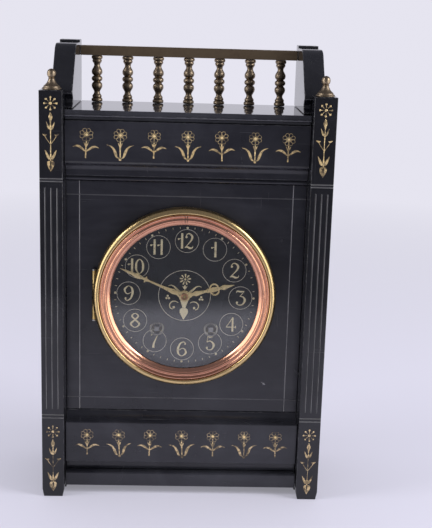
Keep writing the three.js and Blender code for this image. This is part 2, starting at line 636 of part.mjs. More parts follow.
// A toothed disc about the Y axis: pointed teeth, a bore and crossed-out windows.
function gear({ teeth, module, front, rear, angle = 0, arms = 0, hub = 2, lean = 0 }) {
  const pitch = (module * teeth) / 2;
  const [tip, root] = [pitch + 0.95 * module, pitch - 1.25 * module];
  const points = [];
  for (let i = 0; i < teeth; i++) {
    const a = angle + (2 * Math.PI * i) / teeth;
    const half = Math.PI / teeth;
    points.push([tip * Math.cos(a + lean * half), tip * Math.sin(a + lean * half)]);
    points.push([root * Math.cos(a + half), root * Math.sin(a + half)]);
  }
  const shape = outline(points);
  const rim = root - 1.6 * module - 0.5;
  for (let i = 0; i < arms; i++) {
    const middle = (360 / arms) * (i + 0.5);
    const [inner, outer] = [hub + 1.0, rim];
    const gapInner = 180 / arms - (90 / Math.PI) * (1.5 / inner);
    const gapOuter = 180 / arms - (90 / Math.PI) * (1.5 / outer);
    shape.holes.push(outline([
      ...arc(0, 0, outer, middle - gapOuter, middle + gapOuter, 4),
      ...arc(0, 0, inner, middle + gapInner, middle - gapInner, 1),
    ]));
  }
  return alongY(shape, front, rear);
}

// An arbor with a shoulder at each end and pivots that run in the plates.
function arbor(radius, front = frontPlateRear, rear = backPlate, pivot = PIVOT_RADIUS) {
  const reach = PLATE_THICKNESS - 0.4;
  return turnedY(
    [
      [0, front - reach], [pivot, front - reach], [pivot, front + 0.4], [radius, front + 0.4],
      [radius, rear - 0.4], [pivot, rear - 0.4], [pivot, rear + reach], [0, rear + reach],
    ],
    8,
  );
}

const BARREL_MODULE = 0.53;
const INTERMEDIATE_MODULE = 0.5;
const CENTRE_MODULE = 0.4;
const THIRD_MODULE = 0.36;
const MOTION_MODULE = 0.4;

const TEETH = {
  barrel: 72, intermediatePinion: 12, intermediate: 60, centrePinion: 10, centre: 72, thirdPinion: 6,
  third: 60, escapePinion: 6, escape: 40, cannon: 12, minute: 36, minutePinion: 10, hour: 40,
  pinWheelPinion: 12, pinWheel: 60, warningPinion: 10, warning: 48, flyPinion: 8,
};

// Depths of the wheels, behind the pilaster fronts.
const drumFront = frontPlateRear + 2;
const greatWheel = backPlate - 13;
const intermediateLevel = backPlate - 7.5;
const centreLevel = backPlate - 3.5;
const thirdLevel = frontPlateRear + 5;
const escapeLevel = frontPlateRear + 11;
const pinWheelLevel = backPlate - 10;
const warningLevel = frontPlateRear + 15;
const cannonFront = FRONT_PLATE - 3;
const hourLevel = dialRear + 0.8;

const BARREL_REACH = centreDistance(BARREL_MODULE, TEETH.barrel, TEETH.intermediatePinion);
const CENTRE_REACH = centreDistance(INTERMEDIATE_MODULE, TEETH.intermediate, TEETH.centrePinion);
AT.intermediate = meeting(AT.centre, CENTRE_REACH, AT.goingBarrel, BARREL_REACH, 1);
AT.pinWheel = [-AT.intermediate[0], AT.intermediate[1]];

const THIRD_REACH = centreDistance(CENTRE_MODULE, TEETH.centre, TEETH.thirdPinion);
const ESCAPE_REACH = centreDistance(THIRD_MODULE, TEETH.third, TEETH.escapePinion);
AT.third = [THIRD_REACH * 0.5, THIRD_REACH * Math.sqrt(0.75)];
AT.escape = [0, AT.third[1] + Math.sqrt(ESCAPE_REACH ** 2 - AT.third[0] ** 2)];
const ESCAPE_RADIUS = 8.5;
const ESCAPE_MODULE = (2 * ESCAPE_RADIUS) / (TEETH.escape + 1.9);
const ANCHOR_REACH = ESCAPE_RADIUS * Math.SQRT2;
AT.anchor = [0, AT.escape[1] + ANCHOR_REACH];

const MOTION_REACH = centreDistance(MOTION_MODULE, TEETH.cannon, TEETH.minute);
const HOUR_MODULE = (2 * MOTION_REACH) / (TEETH.minutePinion + TEETH.hour);
AT.minute = [-MOTION_REACH, 0];

const WARNING_REACH = centreDistance(INTERMEDIATE_MODULE, TEETH.pinWheel, TEETH.warningPinion);
const FLY_REACH = centreDistance(CENTRE_MODULE, TEETH.warning, TEETH.flyPinion);
const polar = ([x, z], reach, degrees) => {
  const angle = THREE.MathUtils.degToRad(degrees);
  return [x + reach * Math.cos(angle), z + reach * Math.sin(angle)];
};
AT.warning = polar(AT.pinWheel, WARNING_REACH, 73.5);
AT.fly = polar(AT.warning, FLY_REACH, 135);
AT.hammer = [-27.5, 14];

const meshed = (here, teeth, neighbourAt, neighbourTeeth, neighbourAngle) =>
  meshedAngle({ at: neighbourAt, teeth: neighbourTeeth, angle: neighbourAngle }, { at: here, teeth });

const intermediateAngle = meshed(AT.intermediate, TEETH.intermediate, AT.centre, TEETH.centrePinion, 0);
const goingBarrelAngle = meshed(AT.goingBarrel, TEETH.barrel, AT.intermediate, TEETH.intermediatePinion, 0);
const thirdPinionAngle = meshed(AT.third, TEETH.thirdPinion, AT.centre, TEETH.centre, 0);
const escapePinionAngle = meshed(AT.escape, TEETH.escapePinion, AT.third, TEETH.third, 0);
const minuteAngle = meshed(AT.minute, TEETH.minute, AT.centre, TEETH.cannon, 0);
const hourAngle = meshed(AT.centre, TEETH.hour, AT.minute, TEETH.minutePinion, 0);
const pinWheelPinionAngle = meshed(AT.pinWheel, TEETH.pinWheelPinion, AT.strikeBarrel, TEETH.barrel, 0);
const warningPinionAngle = meshed(AT.warning, TEETH.warningPinion, AT.pinWheel, TEETH.pinWheel, 0);
const flyPinionAngle = meshed(AT.fly, TEETH.flyPinion, AT.warning, TEETH.warning, 0);

function place(name, shape, material, [x, z]) {
  add(name, shape, material, dialGroup).position.set(x, 0, z);
}

// ---------------------------------------------------------------- plates

const WINDING_ARBOR_RADIUS = 3.0;
const WINDING_PIVOT_RADIUS = 2.4;
const ANCHOR_PIVOT_RADIUS = 0.9;
const PILLARS = [-90, 20, 160, 60.6].map((angle) => polar([0, -PLATE_DROP], PLATE_RADIUS - 5.2, angle));

function plate(front) {
  const disc = rod(PLATE_RADIUS, front, front + PLATE_THICKNESS, 40).translate(0, 0, -PLATE_DROP);
  const hole = ([x, z], radius) =>
    rod(radius + RUNNING, front - 1, front + PLATE_THICKNESS + 1, 8).translate(x, 0, z);
  return cut(
    disc,
    hole(AT.goingBarrel, WINDING_PIVOT_RADIUS),
    hole(AT.strikeBarrel, WINDING_PIVOT_RADIUS),
    hole(AT.centre, ARBOR_RADIUS),
    hole(AT.anchor, ANCHOR_PIVOT_RADIUS),
    hole(AT.hammer, ANCHOR_PIVOT_RADIUS),
    ...[AT.intermediate, AT.third, AT.escape, AT.pinWheel, AT.warning, AT.fly].map((at) =>
      hole(at, PIVOT_RADIUS),
    ),
  );
}

const minuteStud = rod(0.8, hourLevel - 0.4, FRONT_PLATE + 0.5, 8).translate(...[AT.minute[0], 0, AT.minute[1]]);
add("front_plate", join(plate(FRONT_PLATE), minuteStud), BRASS, dialGroup);

const pillars = PILLARS.map(([x, z]) =>
  rod(3.2, frontPlateRear + SEAM, backPlate + 0.5, 10).translate(x, 0, z),
);
add("back_plate", join(plate(backPlate), ...pillars), BRASS, dialGroup);

// ---------------------------------------------------------------- going train

function barrel(angle) {
  const [bore, radius, wall] = [WINDING_ARBOR_RADIUS + RUNNING, 18.2, 1.2];
  const rear = greatWheel + 0.5;
  const drum = turnedY(
    closed([
      [bore, drumFront], [radius, drumFront], [radius, rear], [bore, rear], [bore, rear - wall],
      [radius - wall, rear - wall], [radius - wall, drumFront + wall], [bore, drumFront + wall],
    ]),
    24,
  );
  const wheel = cut(
    gear({ teeth: TEETH.barrel, module: BARREL_MODULE, front: greatWheel, rear: greatWheel + 2.2, angle }),
    rod(bore, greatWheel - 1, greatWheel + 4, 10),
  );
  return join(drum, wheel);
}

function windingArbor() {
  const half = WINDING_SQUARE / 2;
  const square = block(-half, half, DIAL_SETBACK - 0.7, FRONT_PLATE + 0.5, -half, half);
  const shaft = turnedY(
    [
      [0, FRONT_PLATE], [WINDING_PIVOT_RADIUS, FRONT_PLATE], [WINDING_PIVOT_RADIUS, frontPlateRear + 0.4],
      [WINDING_ARBOR_RADIUS, frontPlateRear + 0.4], [WINDING_ARBOR_RADIUS, backPlate - 0.4],
      [WINDING_PIVOT_RADIUS, backPlate - 0.4], [WINDING_PIVOT_RADIUS, backPlateRear - 0.4],
      [0, backPlateRear - 0.4],
    ],
    10,
  );
  return join(shaft, square);
}

const windingShaft = windingArbor();
place("going_barrel", barrel(goingBarrelAngle), BRASS, AT.goingBarrel);
place("strike_barrel", barrel(0), BRASS, AT.strikeBarrel);
place("going_winding_arbor", windingShaft, STEEL, AT.goingBarrel);
place("strike_winding_arbor", windingShaft, STEEL, AT.strikeBarrel);

place("intermediate_wheel", join(
  arbor(1.3),
  gear({ teeth: TEETH.intermediatePinion, module: BARREL_MODULE, front: greatWheel - 0.6,
    rear: greatWheel + 2.8 }),
  gear({ teeth: TEETH.intermediate, module: INTERMEDIATE_MODULE, front: intermediateLevel,
    rear: intermediateLevel + 1, angle: intermediateAngle, arms: 5 }),
), BRASS, AT.intermediate);

const centreArbor = turnedY(
  [
    [0, MINUTE_HAND_FRONT - 1.1], [ARBOR_RADIUS, MINUTE_HAND_FRONT - 1.1], [ARBOR_RADIUS, frontPlateRear + 0.4],
    [1.4, frontPlateRear + 0.4], [1.4, backPlate - 0.4], [ARBOR_RADIUS, backPlate - 0.4],
    [ARBOR_RADIUS, backPlateRear - 0.4], [0, backPlateRear - 0.4],
  ],
  10,
);
place("centre_wheel", join(
  centreArbor,
  gear({ teeth: TEETH.centrePinion, module: INTERMEDIATE_MODULE, front: intermediateLevel - 1,
    rear: intermediateLevel + 2 }),
  gear({ teeth: TEETH.centre, module: CENTRE_MODULE, front: centreLevel, rear: centreLevel + 1, arms: 5 }),
), BRASS, AT.centre);

place("third_wheel", join(
  arbor(0.7, frontPlateRear, backPlate, 0.6),
  gear({ teeth: TEETH.thirdPinion, module: CENTRE_MODULE, front: centreLevel - 0.8, rear: centreLevel + 1.8,
    angle: thirdPinionAngle }),
  gear({ teeth: TEETH.third, module: THIRD_MODULE, front: thirdLevel, rear: thirdLevel + 1, arms: 4 }),
), BRASS, AT.third);

place("escape_wheel", join(
  arbor(0.6, frontPlateRear, backPlate, 0.5),
  gear({ teeth: TEETH.escapePinion, module: THIRD_MODULE, front: thirdLevel - 1, rear: thirdLevel + 2,
    angle: escapePinionAngle }),
  gear({ teeth: TEETH.escape, module: ESCAPE_MODULE, front: escapeLevel, rear: escapeLevel + 1, arms: 4,
    lean: 0.8 }),
), BRASS, AT.escape);

// ---------------------------------------------------------------- motion work

place("cannon_pinion", cut(
  join(
    gear({ teeth: TEETH.cannon, module: MOTION_MODULE, front: cannonFront, rear: cannonFront + 2.4 }),
    rod(1.85, MINUTE_HAND_FRONT + HAND_THICKNESS + SEAM, cannonFront + 1, 10),
  ),
  rod(ARBOR_RADIUS + RUNNING, MINUTE_HAND_FRONT, FRONT_PLATE, 8),
), STEEL, AT.centre);

place("minute_wheel", cut(
  join(
    gear({ teeth: TEETH.minute, module: MOTION_MODULE, front: cannonFront + 0.7, rear: cannonFront + 1.7,
      angle: minuteAngle }),
    gear({ teeth: TEETH.minutePinion, module: HOUR_MODULE, front: hourLevel - 0.3, rear: cannonFront + 1 }),
  ),
  rod(0.8 + RUNNING, hourLevel - 2, FRONT_PLATE, 8),
), BRASS, AT.minute);

place("hour_wheel", cut(
  join(
    gear({ teeth: TEETH.hour, module: HOUR_MODULE, front: hourLevel, rear: hourLevel + 1, angle: hourAngle }),
    rod(HOUR_PIPE_RADIUS, HOUR_HAND_FRONT + HAND_THICKNESS + SEAM, hourLevel + 0.5, 12),
  ),
  rod(1.85 + RUNNING, HOUR_HAND_FRONT, hourLevel + 2, 10),
), BRASS, AT.centre);

// ---------------------------------------------------------------- striking train

const PIN_CIRCLE = 11;

place("strike_pin_wheel", join(
  arbor(1.3),
  gear({ teeth: TEETH.pinWheelPinion, module: BARREL_MODULE, front: greatWheel - 0.6, rear: greatWheel + 2.8,
    angle: pinWheelPinionAngle }),
  gear({ teeth: TEETH.pinWheel, module: INTERMEDIATE_MODULE, front: pinWheelLevel, rear: pinWheelLevel + 1 }),
  ...Array.from({ length: 8 }, (_, i) => {
    const [x, z] = polar([0, 0], PIN_CIRCLE, 45 * i + 20);
    return rod(0.6, pinWheelLevel + 0.5, pinWheelLevel + 4, 6).translate(x, 0, z);
  }),
), BRASS, AT.pinWheel);

place("strike_warning_wheel", join(
  arbor(1.0),
  gear({ teeth: TEETH.warningPinion, module: INTERMEDIATE_MODULE, front: pinWheelLevel - 0.6,
    rear: pinWheelLevel + 1.6, angle: warningPinionAngle }),
  gear({ teeth: TEETH.warning, module: CENTRE_MODULE, front: warningLevel, rear: warningLevel + 1, arms: 4 }),
), BRASS, AT.warning);

place("strike_fly", join(
  arbor(0.9),
  gear({ teeth: TEETH.flyPinion, module: CENTRE_MODULE, front: warningLevel - 1, rear: warningLevel + 2,
    angle: flyPinionAngle }),
  block(-7.5, 7.5, warningLevel + 4, backPlate - 3, -0.4, 0.4),
), STEEL, AT.fly);

// ---------------------------------------------------------------- escapement and pendulum

const CRUTCH_DROP = 32;
const crutchFront = backPlateRear + 1;
const cockFront = crutchFront + 2;
const pendulumDepth = backPlateRear + 8;
const ROD_RADIUS = 1.0;

function anchor() {
  const [reach, spread] = [ANCHOR_REACH, ESCAPE_RADIUS];
  const half = [[1.9, 1.6], [spread - 1.6, -1.6], [spread + 1.2, -reach * 0.5], [spread + 0.6, -reach * 0.68],
    [spread - 0.7, -reach * 0.5], [spread - 2.6, -3.6], [1.6, -1.9]];
  const mirrored = half.map(([x, z]) => [-x, z]).reverse();
  const pallets = alongY(outline([...half, ...mirrored]), escapeLevel - 0.3, escapeLevel + 1.3);
  const staff = turnedY(
    [[0, FRONT_PLATE + 0.4], [0.7, FRONT_PLATE + 0.4], [0.7, frontPlateRear + 0.4], [0.9, frontPlateRear + 0.4],
      [0.9, cockFront + 1.4], [0, cockFront + 1.4]],
    8,
  );
  const crutch = block(-1.2, 1.2, crutchFront, crutchFront + 1, -CRUTCH_DROP, 0.6);
  const yoke = block(-2.6, 2.6, crutchFront, crutchFront + 1, -CRUTCH_DROP, -CRUTCH_DROP + 1.6);
  const prongs = [-1, 1].map((side) => {
    const [low, high] = [side * (ROD_RADIUS + 0.35), side * 2.6].sort((a, b) => a - b);
    return block(low, high, crutchFront, pendulumDepth + 1.5, -CRUTCH_DROP, -CRUTCH_DROP + 1.6);
  });
  return join(pallets, staff, crutch, yoke, ...prongs);
}
place("anchor", anchor(), STEEL, AT.anchor);

// The cock bridges the crutch and holds the suspension spring in a slit.
function suspensionCock() {
  const slitHalf = 0.5;
  const bridge = block(-13, 13, cockFront, cockFront + 2, -8, 7.5);
  const legs = [block(-13, -9.5, backPlateRear + SEAM, cockFront + 1, -8, -1),
    block(9.5, 13, backPlateRear + SEAM, cockFront + 1, -8, -1)];
  const chops = block(-4, 4, cockFront + 1.5, pendulumDepth + 3, 3, 7.5);
  const slit = block(-slitHalf, slitHalf, cockFront + 2, pendulumDepth + 4, 2, 6.8);
  const pivotHole = rod(0.9 + RUNNING, cockFront - 1, cockFront + 3, 8);
  return cut(join(bridge, ...legs, chops), slit, pivotHole);
}
place("suspension_cock", suspensionCock(), BRASS, AT.anchor);

const springHalf = 0.15;
const springFront = cockFront + 2 + SEAM;
const springRear = pendulumDepth + 2.4;
place("suspension_spring", block(-springHalf, springHalf, springFront, springRear, 0.3, 6.5), BLUED, AT.anchor);

const bobBottom = -PENDULUM_LENGTH - BOB_RADIUS;
const pendulumRod = join(
  post(ROD_RADIUS, bobBottom - 7, -6, 8).translate(0, pendulumDepth, 0),
  block(-2.2, 2.2, springFront + 0.2, springRear, -8, 0),
);
place("pendulum_rod", pendulumRod, BRASS, AT.anchor);

const lens = turnedY(
  [[0, -BOB_THICKNESS / 2], [9, -BOB_THICKNESS / 2 + 0.7], [BOB_RADIUS - 2, -1.8], [BOB_RADIUS, -0.8],
    [BOB_RADIUS, 0.8], [BOB_RADIUS - 2, 1.8], [9, BOB_THICKNESS / 2 - 0.7], [0, BOB_THICKNESS / 2]],
  32,
);
const bobBore = post(ROD_RADIUS + RUNNING, -BOB_RADIUS - 1, BOB_RADIUS + 1, 8);
const bob = cut(lens, bobBore).translate(0, pendulumDepth, -PENDULUM_LENGTH);
place("pendulum_bob", bob, BRASS, AT.anchor);

const ratingNut = turnedZ(
  closed([[ROD_RADIUS + RUNNING, bobBottom - 3.3], [3.2, bobBottom - 3.3], [3.6, bobBottom - 1.8],
    [3.2, bobBottom - SEAM], [ROD_RADIUS + RUNNING, bobBottom - SEAM]]),
  12,
);
place("rating_nut", ratingNut.translate(0, pendulumDepth, 0), BRASS, AT.anchor);

// ---------------------------------------------------------------- bell and hammer

AT.bell = [10, -6];
const bellMouth = backPlateRear + 11;
const bellDepth = 13.2;
const BELL_WALL = 1.4;
const bellCurve = Array.from({ length: 7 }, (_, i) => {
  const angle = (i / 6) * (Math.PI / 2 - 0.07);
  return [BELL_RADIUS * Math.cos(angle), bellMouth + bellDepth * Math.sin(angle)];
});
const bellOuter = [[BELL_RADIUS + 0.7, bellMouth], ...bellCurve.slice(1)];
const bellInner = bellCurve.map(([r, y]) => [r * (1 - BELL_WALL / BELL_RADIUS) - 0.4, y - BELL_WALL * 0.9]);
bellInner[0][1] = bellMouth;
const postRadius = 1.9;
bellOuter[bellOuter.length - 1][0] = postRadius + RUNNING;
bellInner[bellInner.length - 1][0] = postRadius + RUNNING;
place("bell", turnedY(closed([...bellOuter, ...bellInner.reverse()]), 28), BELL_METAL, AT.bell);

const bellTop = bellMouth + bellDepth;
place("bell_stand", turnedY(
  [
    [0, backPlateRear + SEAM], [4, backPlateRear + SEAM], [4, backPlateRear + 1.8], [2.6, backPlateRear + 2.6],
    [2.6, bellTop - BELL_WALL - 0.5], [postRadius, bellTop - BELL_WALL - 0.5], [postRadius, bellTop + SEAM],
    [3.4, bellTop + SEAM], [3.4, bellTop + 1.7], [0, bellTop + 2.1],
  ],
  12,
), STEEL, AT.bell);

const hammerDepth = bellMouth + 2;
const HAMMER_DROP = 22;
function hammer() {
  const staff = turnedY(
    [[0, FRONT_PLATE + 0.4], [0.7, FRONT_PLATE + 0.4], [0.7, frontPlateRear + 0.4], [1.0, frontPlateRear + 0.4],
      [1.0, backPlate - 0.4], [0.9, backPlate - 0.4], [0.9, hammerDepth + 0.8], [0, hammerDepth + 0.8]],
    8,
  );
  const stem = block(-0.9, 0.9, hammerDepth - 0.7, hammerDepth + 0.7, -HAMMER_DROP, 1.6);
  const head = solid(new THREE.CylinderGeometry(3, 3, 8, 12).rotateZ(Math.PI / 2))
    .translate(0, hammerDepth, -HAMMER_DROP);
  const tail = alongY(outline([[-1, 1], [1, 1], [5.6, -6.9], [4.2, -7.9]]), pinWheelLevel + 1.8,
    pinWheelLevel + 3.4);
  return join(staff, stem, head, tail);
}
place("hammer", hammer(), STEEL, AT.hammer);

// ---------------------------------------------------------------- rear ring and door

const flangeFront = CASE_DEPTH + SEAM;
const flangeRear = flangeFront + 1.5;
const doorFront = flangeRear + SEAM;
const doorRear = doorFront + 1.2;
const rearHingeX = -(REAR_FLANGE_RADIUS + 2.2);
const rearHingeDepth = doorFront + 0.6;
const rearHingeHalf = REAR_HINGE_LENGTH / 2;
const rearKnuckleHalf = 6;
const rearBarrelRadius = 1.9;

const rearBarrel = (low, high) =>
  turnedZ(closed([[HINGE_PIN_RADIUS + RUNNING, low], [rearBarrelRadius, low], [rearBarrelRadius, high],
    [HINGE_PIN_RADIUS + RUNNING, high]]), 10).translate(rearHingeX, rearHingeDepth, 0);

function rearRing() {
  const tube = REAR_OPENING_RADIUS - SEAM;
  const ring = turnedY(
    closed([[tube - 1.5, backFace + 1], [tube, backFace + 1], [tube, flangeFront],
      [REAR_FLANGE_RADIUS, flangeFront], [REAR_FLANGE_RADIUS, flangeRear], [tube - 1.5, flangeRear]]),
    RING_SIDES,
  );
  const knuckles = [-1, 1].map((side) => {
    const [low, high] = [side * (rearKnuckleHalf + SEAM), side * rearHingeHalf].sort((a, b) => a - b);
    const leaf = block(rearHingeX - 0.5, -REAR_FLANGE_RADIUS + 3, flangeFront, rearHingeDepth - 1.2, low, high);
    return join(leaf, post(rearBarrelRadius, low, high, 10).translate(rearHingeX, rearHingeDepth, 0));
  });
  const pin = post(HINGE_PIN_RADIUS, -rearHingeHalf + 1, rearHingeHalf - 1, 8);
  return join(ring, ...knuckles, pin.translate(rearHingeX, rearHingeDepth, 0));
}

function rearDoor() {
  const sheet = turnedY(
    [[0, doorFront], [REAR_DOOR_RADIUS, doorFront], [REAR_DOOR_RADIUS, doorRear - 0.3],
      [REAR_DOOR_RADIUS - 0.6, doorRear + 0.3], [REAR_DOOR_RADIUS - 2.4, doorRear + 0.3],
      [REAR_DOOR_RADIUS - 3, doorRear], [0, doorRear]],
    RING_SIDES,
  );
  const leaf = block(rearHingeX + 0.9, -REAR_DOOR_RADIUS + 3, doorFront, doorRear, -rearKnuckleHalf,
    rearKnuckleHalf);
  const knobX = REAR_DOOR_RADIUS - 8;
  const knob = turnedY(
    [[0, doorRear - 0.5], [1.6, doorRear - 0.5], [1.6, doorRear + 0.5], [3, doorRear + 1.1],
      [3, OVERALL_DEPTH - 0.5], [2.2, OVERALL_DEPTH], [0, OVERALL_DEPTH]],
    12,
  ).translate(knobX, 0, 0);
  return join(sheet, leaf, rearBarrel(-rearKnuckleHalf, rearKnuckleHalf), knob);
}

add("rear_ring", rearRing(), BRASS, dialGroup);
add("rear_door", rearDoor(), BRASS, dialGroup);

export default clock;
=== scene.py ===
# %% [markdown]
# # A black slate mantel clock
#
# The real clock is a case of polished black slate slabs, cut with fine lines and flowers that are
# filled with gilding. On it stand a brass gallery and two finials, and a hinged brass bezel closes
# over a black dial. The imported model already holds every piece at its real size, so it comes in
# first and is never moved. What follows gives each surface its finish and its fine shape.

# %% Load the frame
import json
import math
import random

import bmesh
import bpy
from mathutils import Matrix, Vector


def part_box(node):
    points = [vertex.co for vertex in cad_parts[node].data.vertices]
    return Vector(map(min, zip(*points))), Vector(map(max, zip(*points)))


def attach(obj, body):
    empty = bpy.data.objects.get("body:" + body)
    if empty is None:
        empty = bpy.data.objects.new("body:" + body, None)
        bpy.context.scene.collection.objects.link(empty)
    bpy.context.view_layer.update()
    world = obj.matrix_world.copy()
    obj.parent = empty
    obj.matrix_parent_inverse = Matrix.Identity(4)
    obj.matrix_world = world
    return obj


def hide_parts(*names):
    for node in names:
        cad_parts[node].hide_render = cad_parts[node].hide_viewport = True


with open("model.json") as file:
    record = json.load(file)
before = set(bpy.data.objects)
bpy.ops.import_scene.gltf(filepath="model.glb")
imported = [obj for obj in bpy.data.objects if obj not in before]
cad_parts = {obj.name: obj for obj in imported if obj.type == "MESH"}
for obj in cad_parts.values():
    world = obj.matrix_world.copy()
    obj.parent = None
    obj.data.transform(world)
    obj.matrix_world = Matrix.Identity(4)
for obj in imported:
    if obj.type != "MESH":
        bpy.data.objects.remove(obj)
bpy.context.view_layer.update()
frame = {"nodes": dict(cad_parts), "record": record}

MM = 0.001
print("pieces in the frame:", len(frame["nodes"]))

# %% [markdown]
# Everything below is drawn in millimetres and scaled to metres at the end. Places come from the
# frame's own boxes, so a flower stays on its slab if the slab's size is changed.

# %% Places that the frame gives
def low(node):
    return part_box(node)[0] / MM


def high(node):
    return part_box(node)[1] / MM


def middle(node):
    return (low(node) + high(node)) / 2


def half_size(node):
    return (high(node) - low(node)) / 2


DIAL = middle("bezel_glass")  # on the hands' arbor
AXIS = (DIAL.x, 0.0, DIAL.z)
DIAL_FACE = low("dial").y
UPPER_FACE = low("upper_frieze").y
LOWER_FACE = low("lower_frieze").y
POST_FACE = low("pilaster_left").y
PANEL_FACE = low("front_panel").y
print("dial centre at", [round(c, 2) for c in DIAL], "mm")

# %% [markdown]
# ## The camera
#
# The photographer stood in front of the clock, a little above it, and held the camera slightly
# turned. The place and the angles below were found from the right angles of the slabs. The focal
# length is given for the tall frame, so the sensor is fitted by its height.

# %% Camera
FRAME_HEIGHT_PX = 528
FOCAL_PX = 1074.6
SENSOR_HEIGHT = 36.0
EYE = Vector((-4.4, POST_FACE - 761.6, 368.2))
YAW, PITCH, ROLL = (math.radians(a) for a in (2.01, 13.49, 1.66))
scene = bpy.context.scene


def placed(name, data):
    """An object that stands in the scene."""
    obj = bpy.data.objects.new(name, data)
    scene.collection.objects.link(obj)
    return obj


camera_data = bpy.data.cameras.new("camera")
camera_data.sensor_fit = "VERTICAL"
camera_data.sensor_height = SENSOR_HEIGHT
camera_data.lens = FOCAL_PX / FRAME_HEIGHT_PX * SENSOR_HEIGHT
camera = placed("camera", camera_data)
aim = Matrix.Rotation(-YAW, 4, "Z") @ Matrix.Rotation(math.radians(90) - PITCH, 4, "X")
camera.matrix_world = Matrix.Translation(EYE * MM) @ aim @ Matrix.Rotation(ROLL, 4, "Z")
scene.camera = camera
print("lens", round(camera_data.lens, 1), "mm")

# %% [markdown]
# ## Shader maths as Python
#
# A finish is easier to read as an expression than as a list of nodes and links. A small class wraps
# one socket, and adds a Math node whenever the socket is used with an operator.

# %% A socket that can be used in an expression
class Wire:
    def __init__(self, network, socket):
        self.network = network
        self.socket = socket

    def math(self, operation, first, second, **settings):
        settings = {"operation": operation, **settings}
        return self.network.node("ShaderNodeMath", settings, {0: first, 1: second})

    def __add__(self, other):
        return self.math("ADD", self, other)

    def __sub__(self, other):
        return self.math("SUBTRACT", self, other)

    def __rsub__(self, other):
        return self.math("SUBTRACT", other, self)

    def __mul__(self, other):
        return self.math("MULTIPLY", self, other)

    def __truediv__(self, other):
        return self.math("DIVIDE", self, other)

    __radd__ = __add__
    __rmul__ = __mul__

    def above(self, level, width):
        """0 below the level, rising to 1 over the width."""
        return self.math("DIVIDE", self - level, width, use_clamp=True)

    def or_more(self, other):
        return self.math("MAXIMUM", self, other)


def skills(kind):
    """The names of what a class can do."""
    names = [name for name in vars(kind) if callable(getattr(kind, name)) and name != "__init__"]
    return ", ".join(name.strip("_") for name in names)


print("a wire can:", skills(Wire))

# %% [markdown]
# Materials and the world are both networks of nodes. One method makes any node in either: it takes
# the node's type, its settings, and the values or wires of its sockets. Where the surface is light
# or glass and not a solid, another shader takes the place of the usual one.

# %% A network of nodes
class Network:
    def __init__(self, owner):
        owner.use_nodes = True
        self.nodes = owner.node_tree.nodes
        self.links = owner.node_tree.links

    def node(self, kind, settings=None, values=None, output=0):
        made = self.nodes.new(kind)
        for name, value in (settings or {}).items():
            setattr(made, name, value)
        for socket, value in (values or {}).items():
            if isinstance(value, Wire):
                self.links.new(value.socket, made.inputs[socket])
            else:
                made.inputs[socket].default_value = value
        return Wire(self, made.outputs[output])

    def blend(self, share, first, second):
        """The first shader where the share is 0, and the second where it is 1."""
        return self.node("ShaderNodeMixShader", {}, {0: share, 1: first, 2: second})

    def show(self, wire):
        """Sends the wire to the output, in the place of the shader that was there."""
        output = next(node for node in self.nodes if node.type.startswith("OUTPUT"))
        surface = output.inputs["Surface"]
        self.nodes.remove(surface.links[0].from_node)
        self.links.new(wire.socket, surface)
        return self


print("a network can:", skills(Network))

# %% [markdown]
# A finish is one material. Its constant values are set straight on the shader's sockets, and only
# colour, roughness, metallic and the bump vary over a surface. Patterns are read in Object
# coordinates, which are the clock's own metres, so neighbouring pieces never show the same grain.

# %% A finish
class Finish(Network):
    def __init__(self, name, **constants):
        self.material = bpy.data.materials.new(name)
        super().__init__(self.material)
        self.shader = self.nodes["Principled BSDF"]
        for socket, value in constants.items():
            self.shader.inputs[socket.replace("_", " ")].default_value = value
        self.place = self.node("ShaderNodeTexCoord", output="Object")

    def feed(self, **wires):
        for socket, wire in wires.items():
            self.links.new(wire.socket, self.shader.inputs[socket.replace("_", " ")])
        return self

    def noise(self, scale, detail=3.0, roughness=0.5, distortion=0.0, at=None):
        values = {"Vector": at or self.place, "Scale": scale, "Detail": detail,
                  "Roughness": roughness, "Distortion": distortion}
        return self.node("ShaderNodeTexNoise", {}, values)

    def stretched(self, scale, lean):
        """The place, drawn out into streaks that lean from the upright, in radians."""
        values = {"Vector": self.place, "Scale": scale, "Rotation": (0, lean, 0)}
        return self.node("ShaderNodeMapping", {}, values)

    def mix(self, share, first, second):
        settings = {"data_type": "RGBA"}
        return self.node("ShaderNodeMix", settings, {0: share, 6: colour(first), 7: colour(second)}, 2)

    def mark(self, attribute):
        return self.node("ShaderNodeAttribute", {"attribute_name": attribute}, {}, "Fac")

    def bump(self, height, depth):
        """The depth is in millimetres."""
        return self.node("ShaderNodeBump", {}, {"Height": height, "Distance": depth * MM})

    def glow(self, tone, strength=1.0):
        return self.node("ShaderNodeEmission", {}, {"Color": (*tone, 1.0), "Strength": strength})

    def distance_from(self, x, z):
        """Distance from a line along Y, in metres."""
        moved = self.node("ShaderNodeVectorMath", {"operation": "SUBTRACT"}, {0: self.place, 1: (x, 0, z)})
        flat = self.node("ShaderNodeVectorMath", {"operation": "MULTIPLY"}, {0: moved, 1: (1, 0, 1)})
        return self.node("ShaderNodeVectorMath", {"operation": "LENGTH"}, {0: flat}, "Value")


def colour(value):
    return value if isinstance(value, Wire) else (*value, 1.0)


print("a finish can:", skills(Finish))
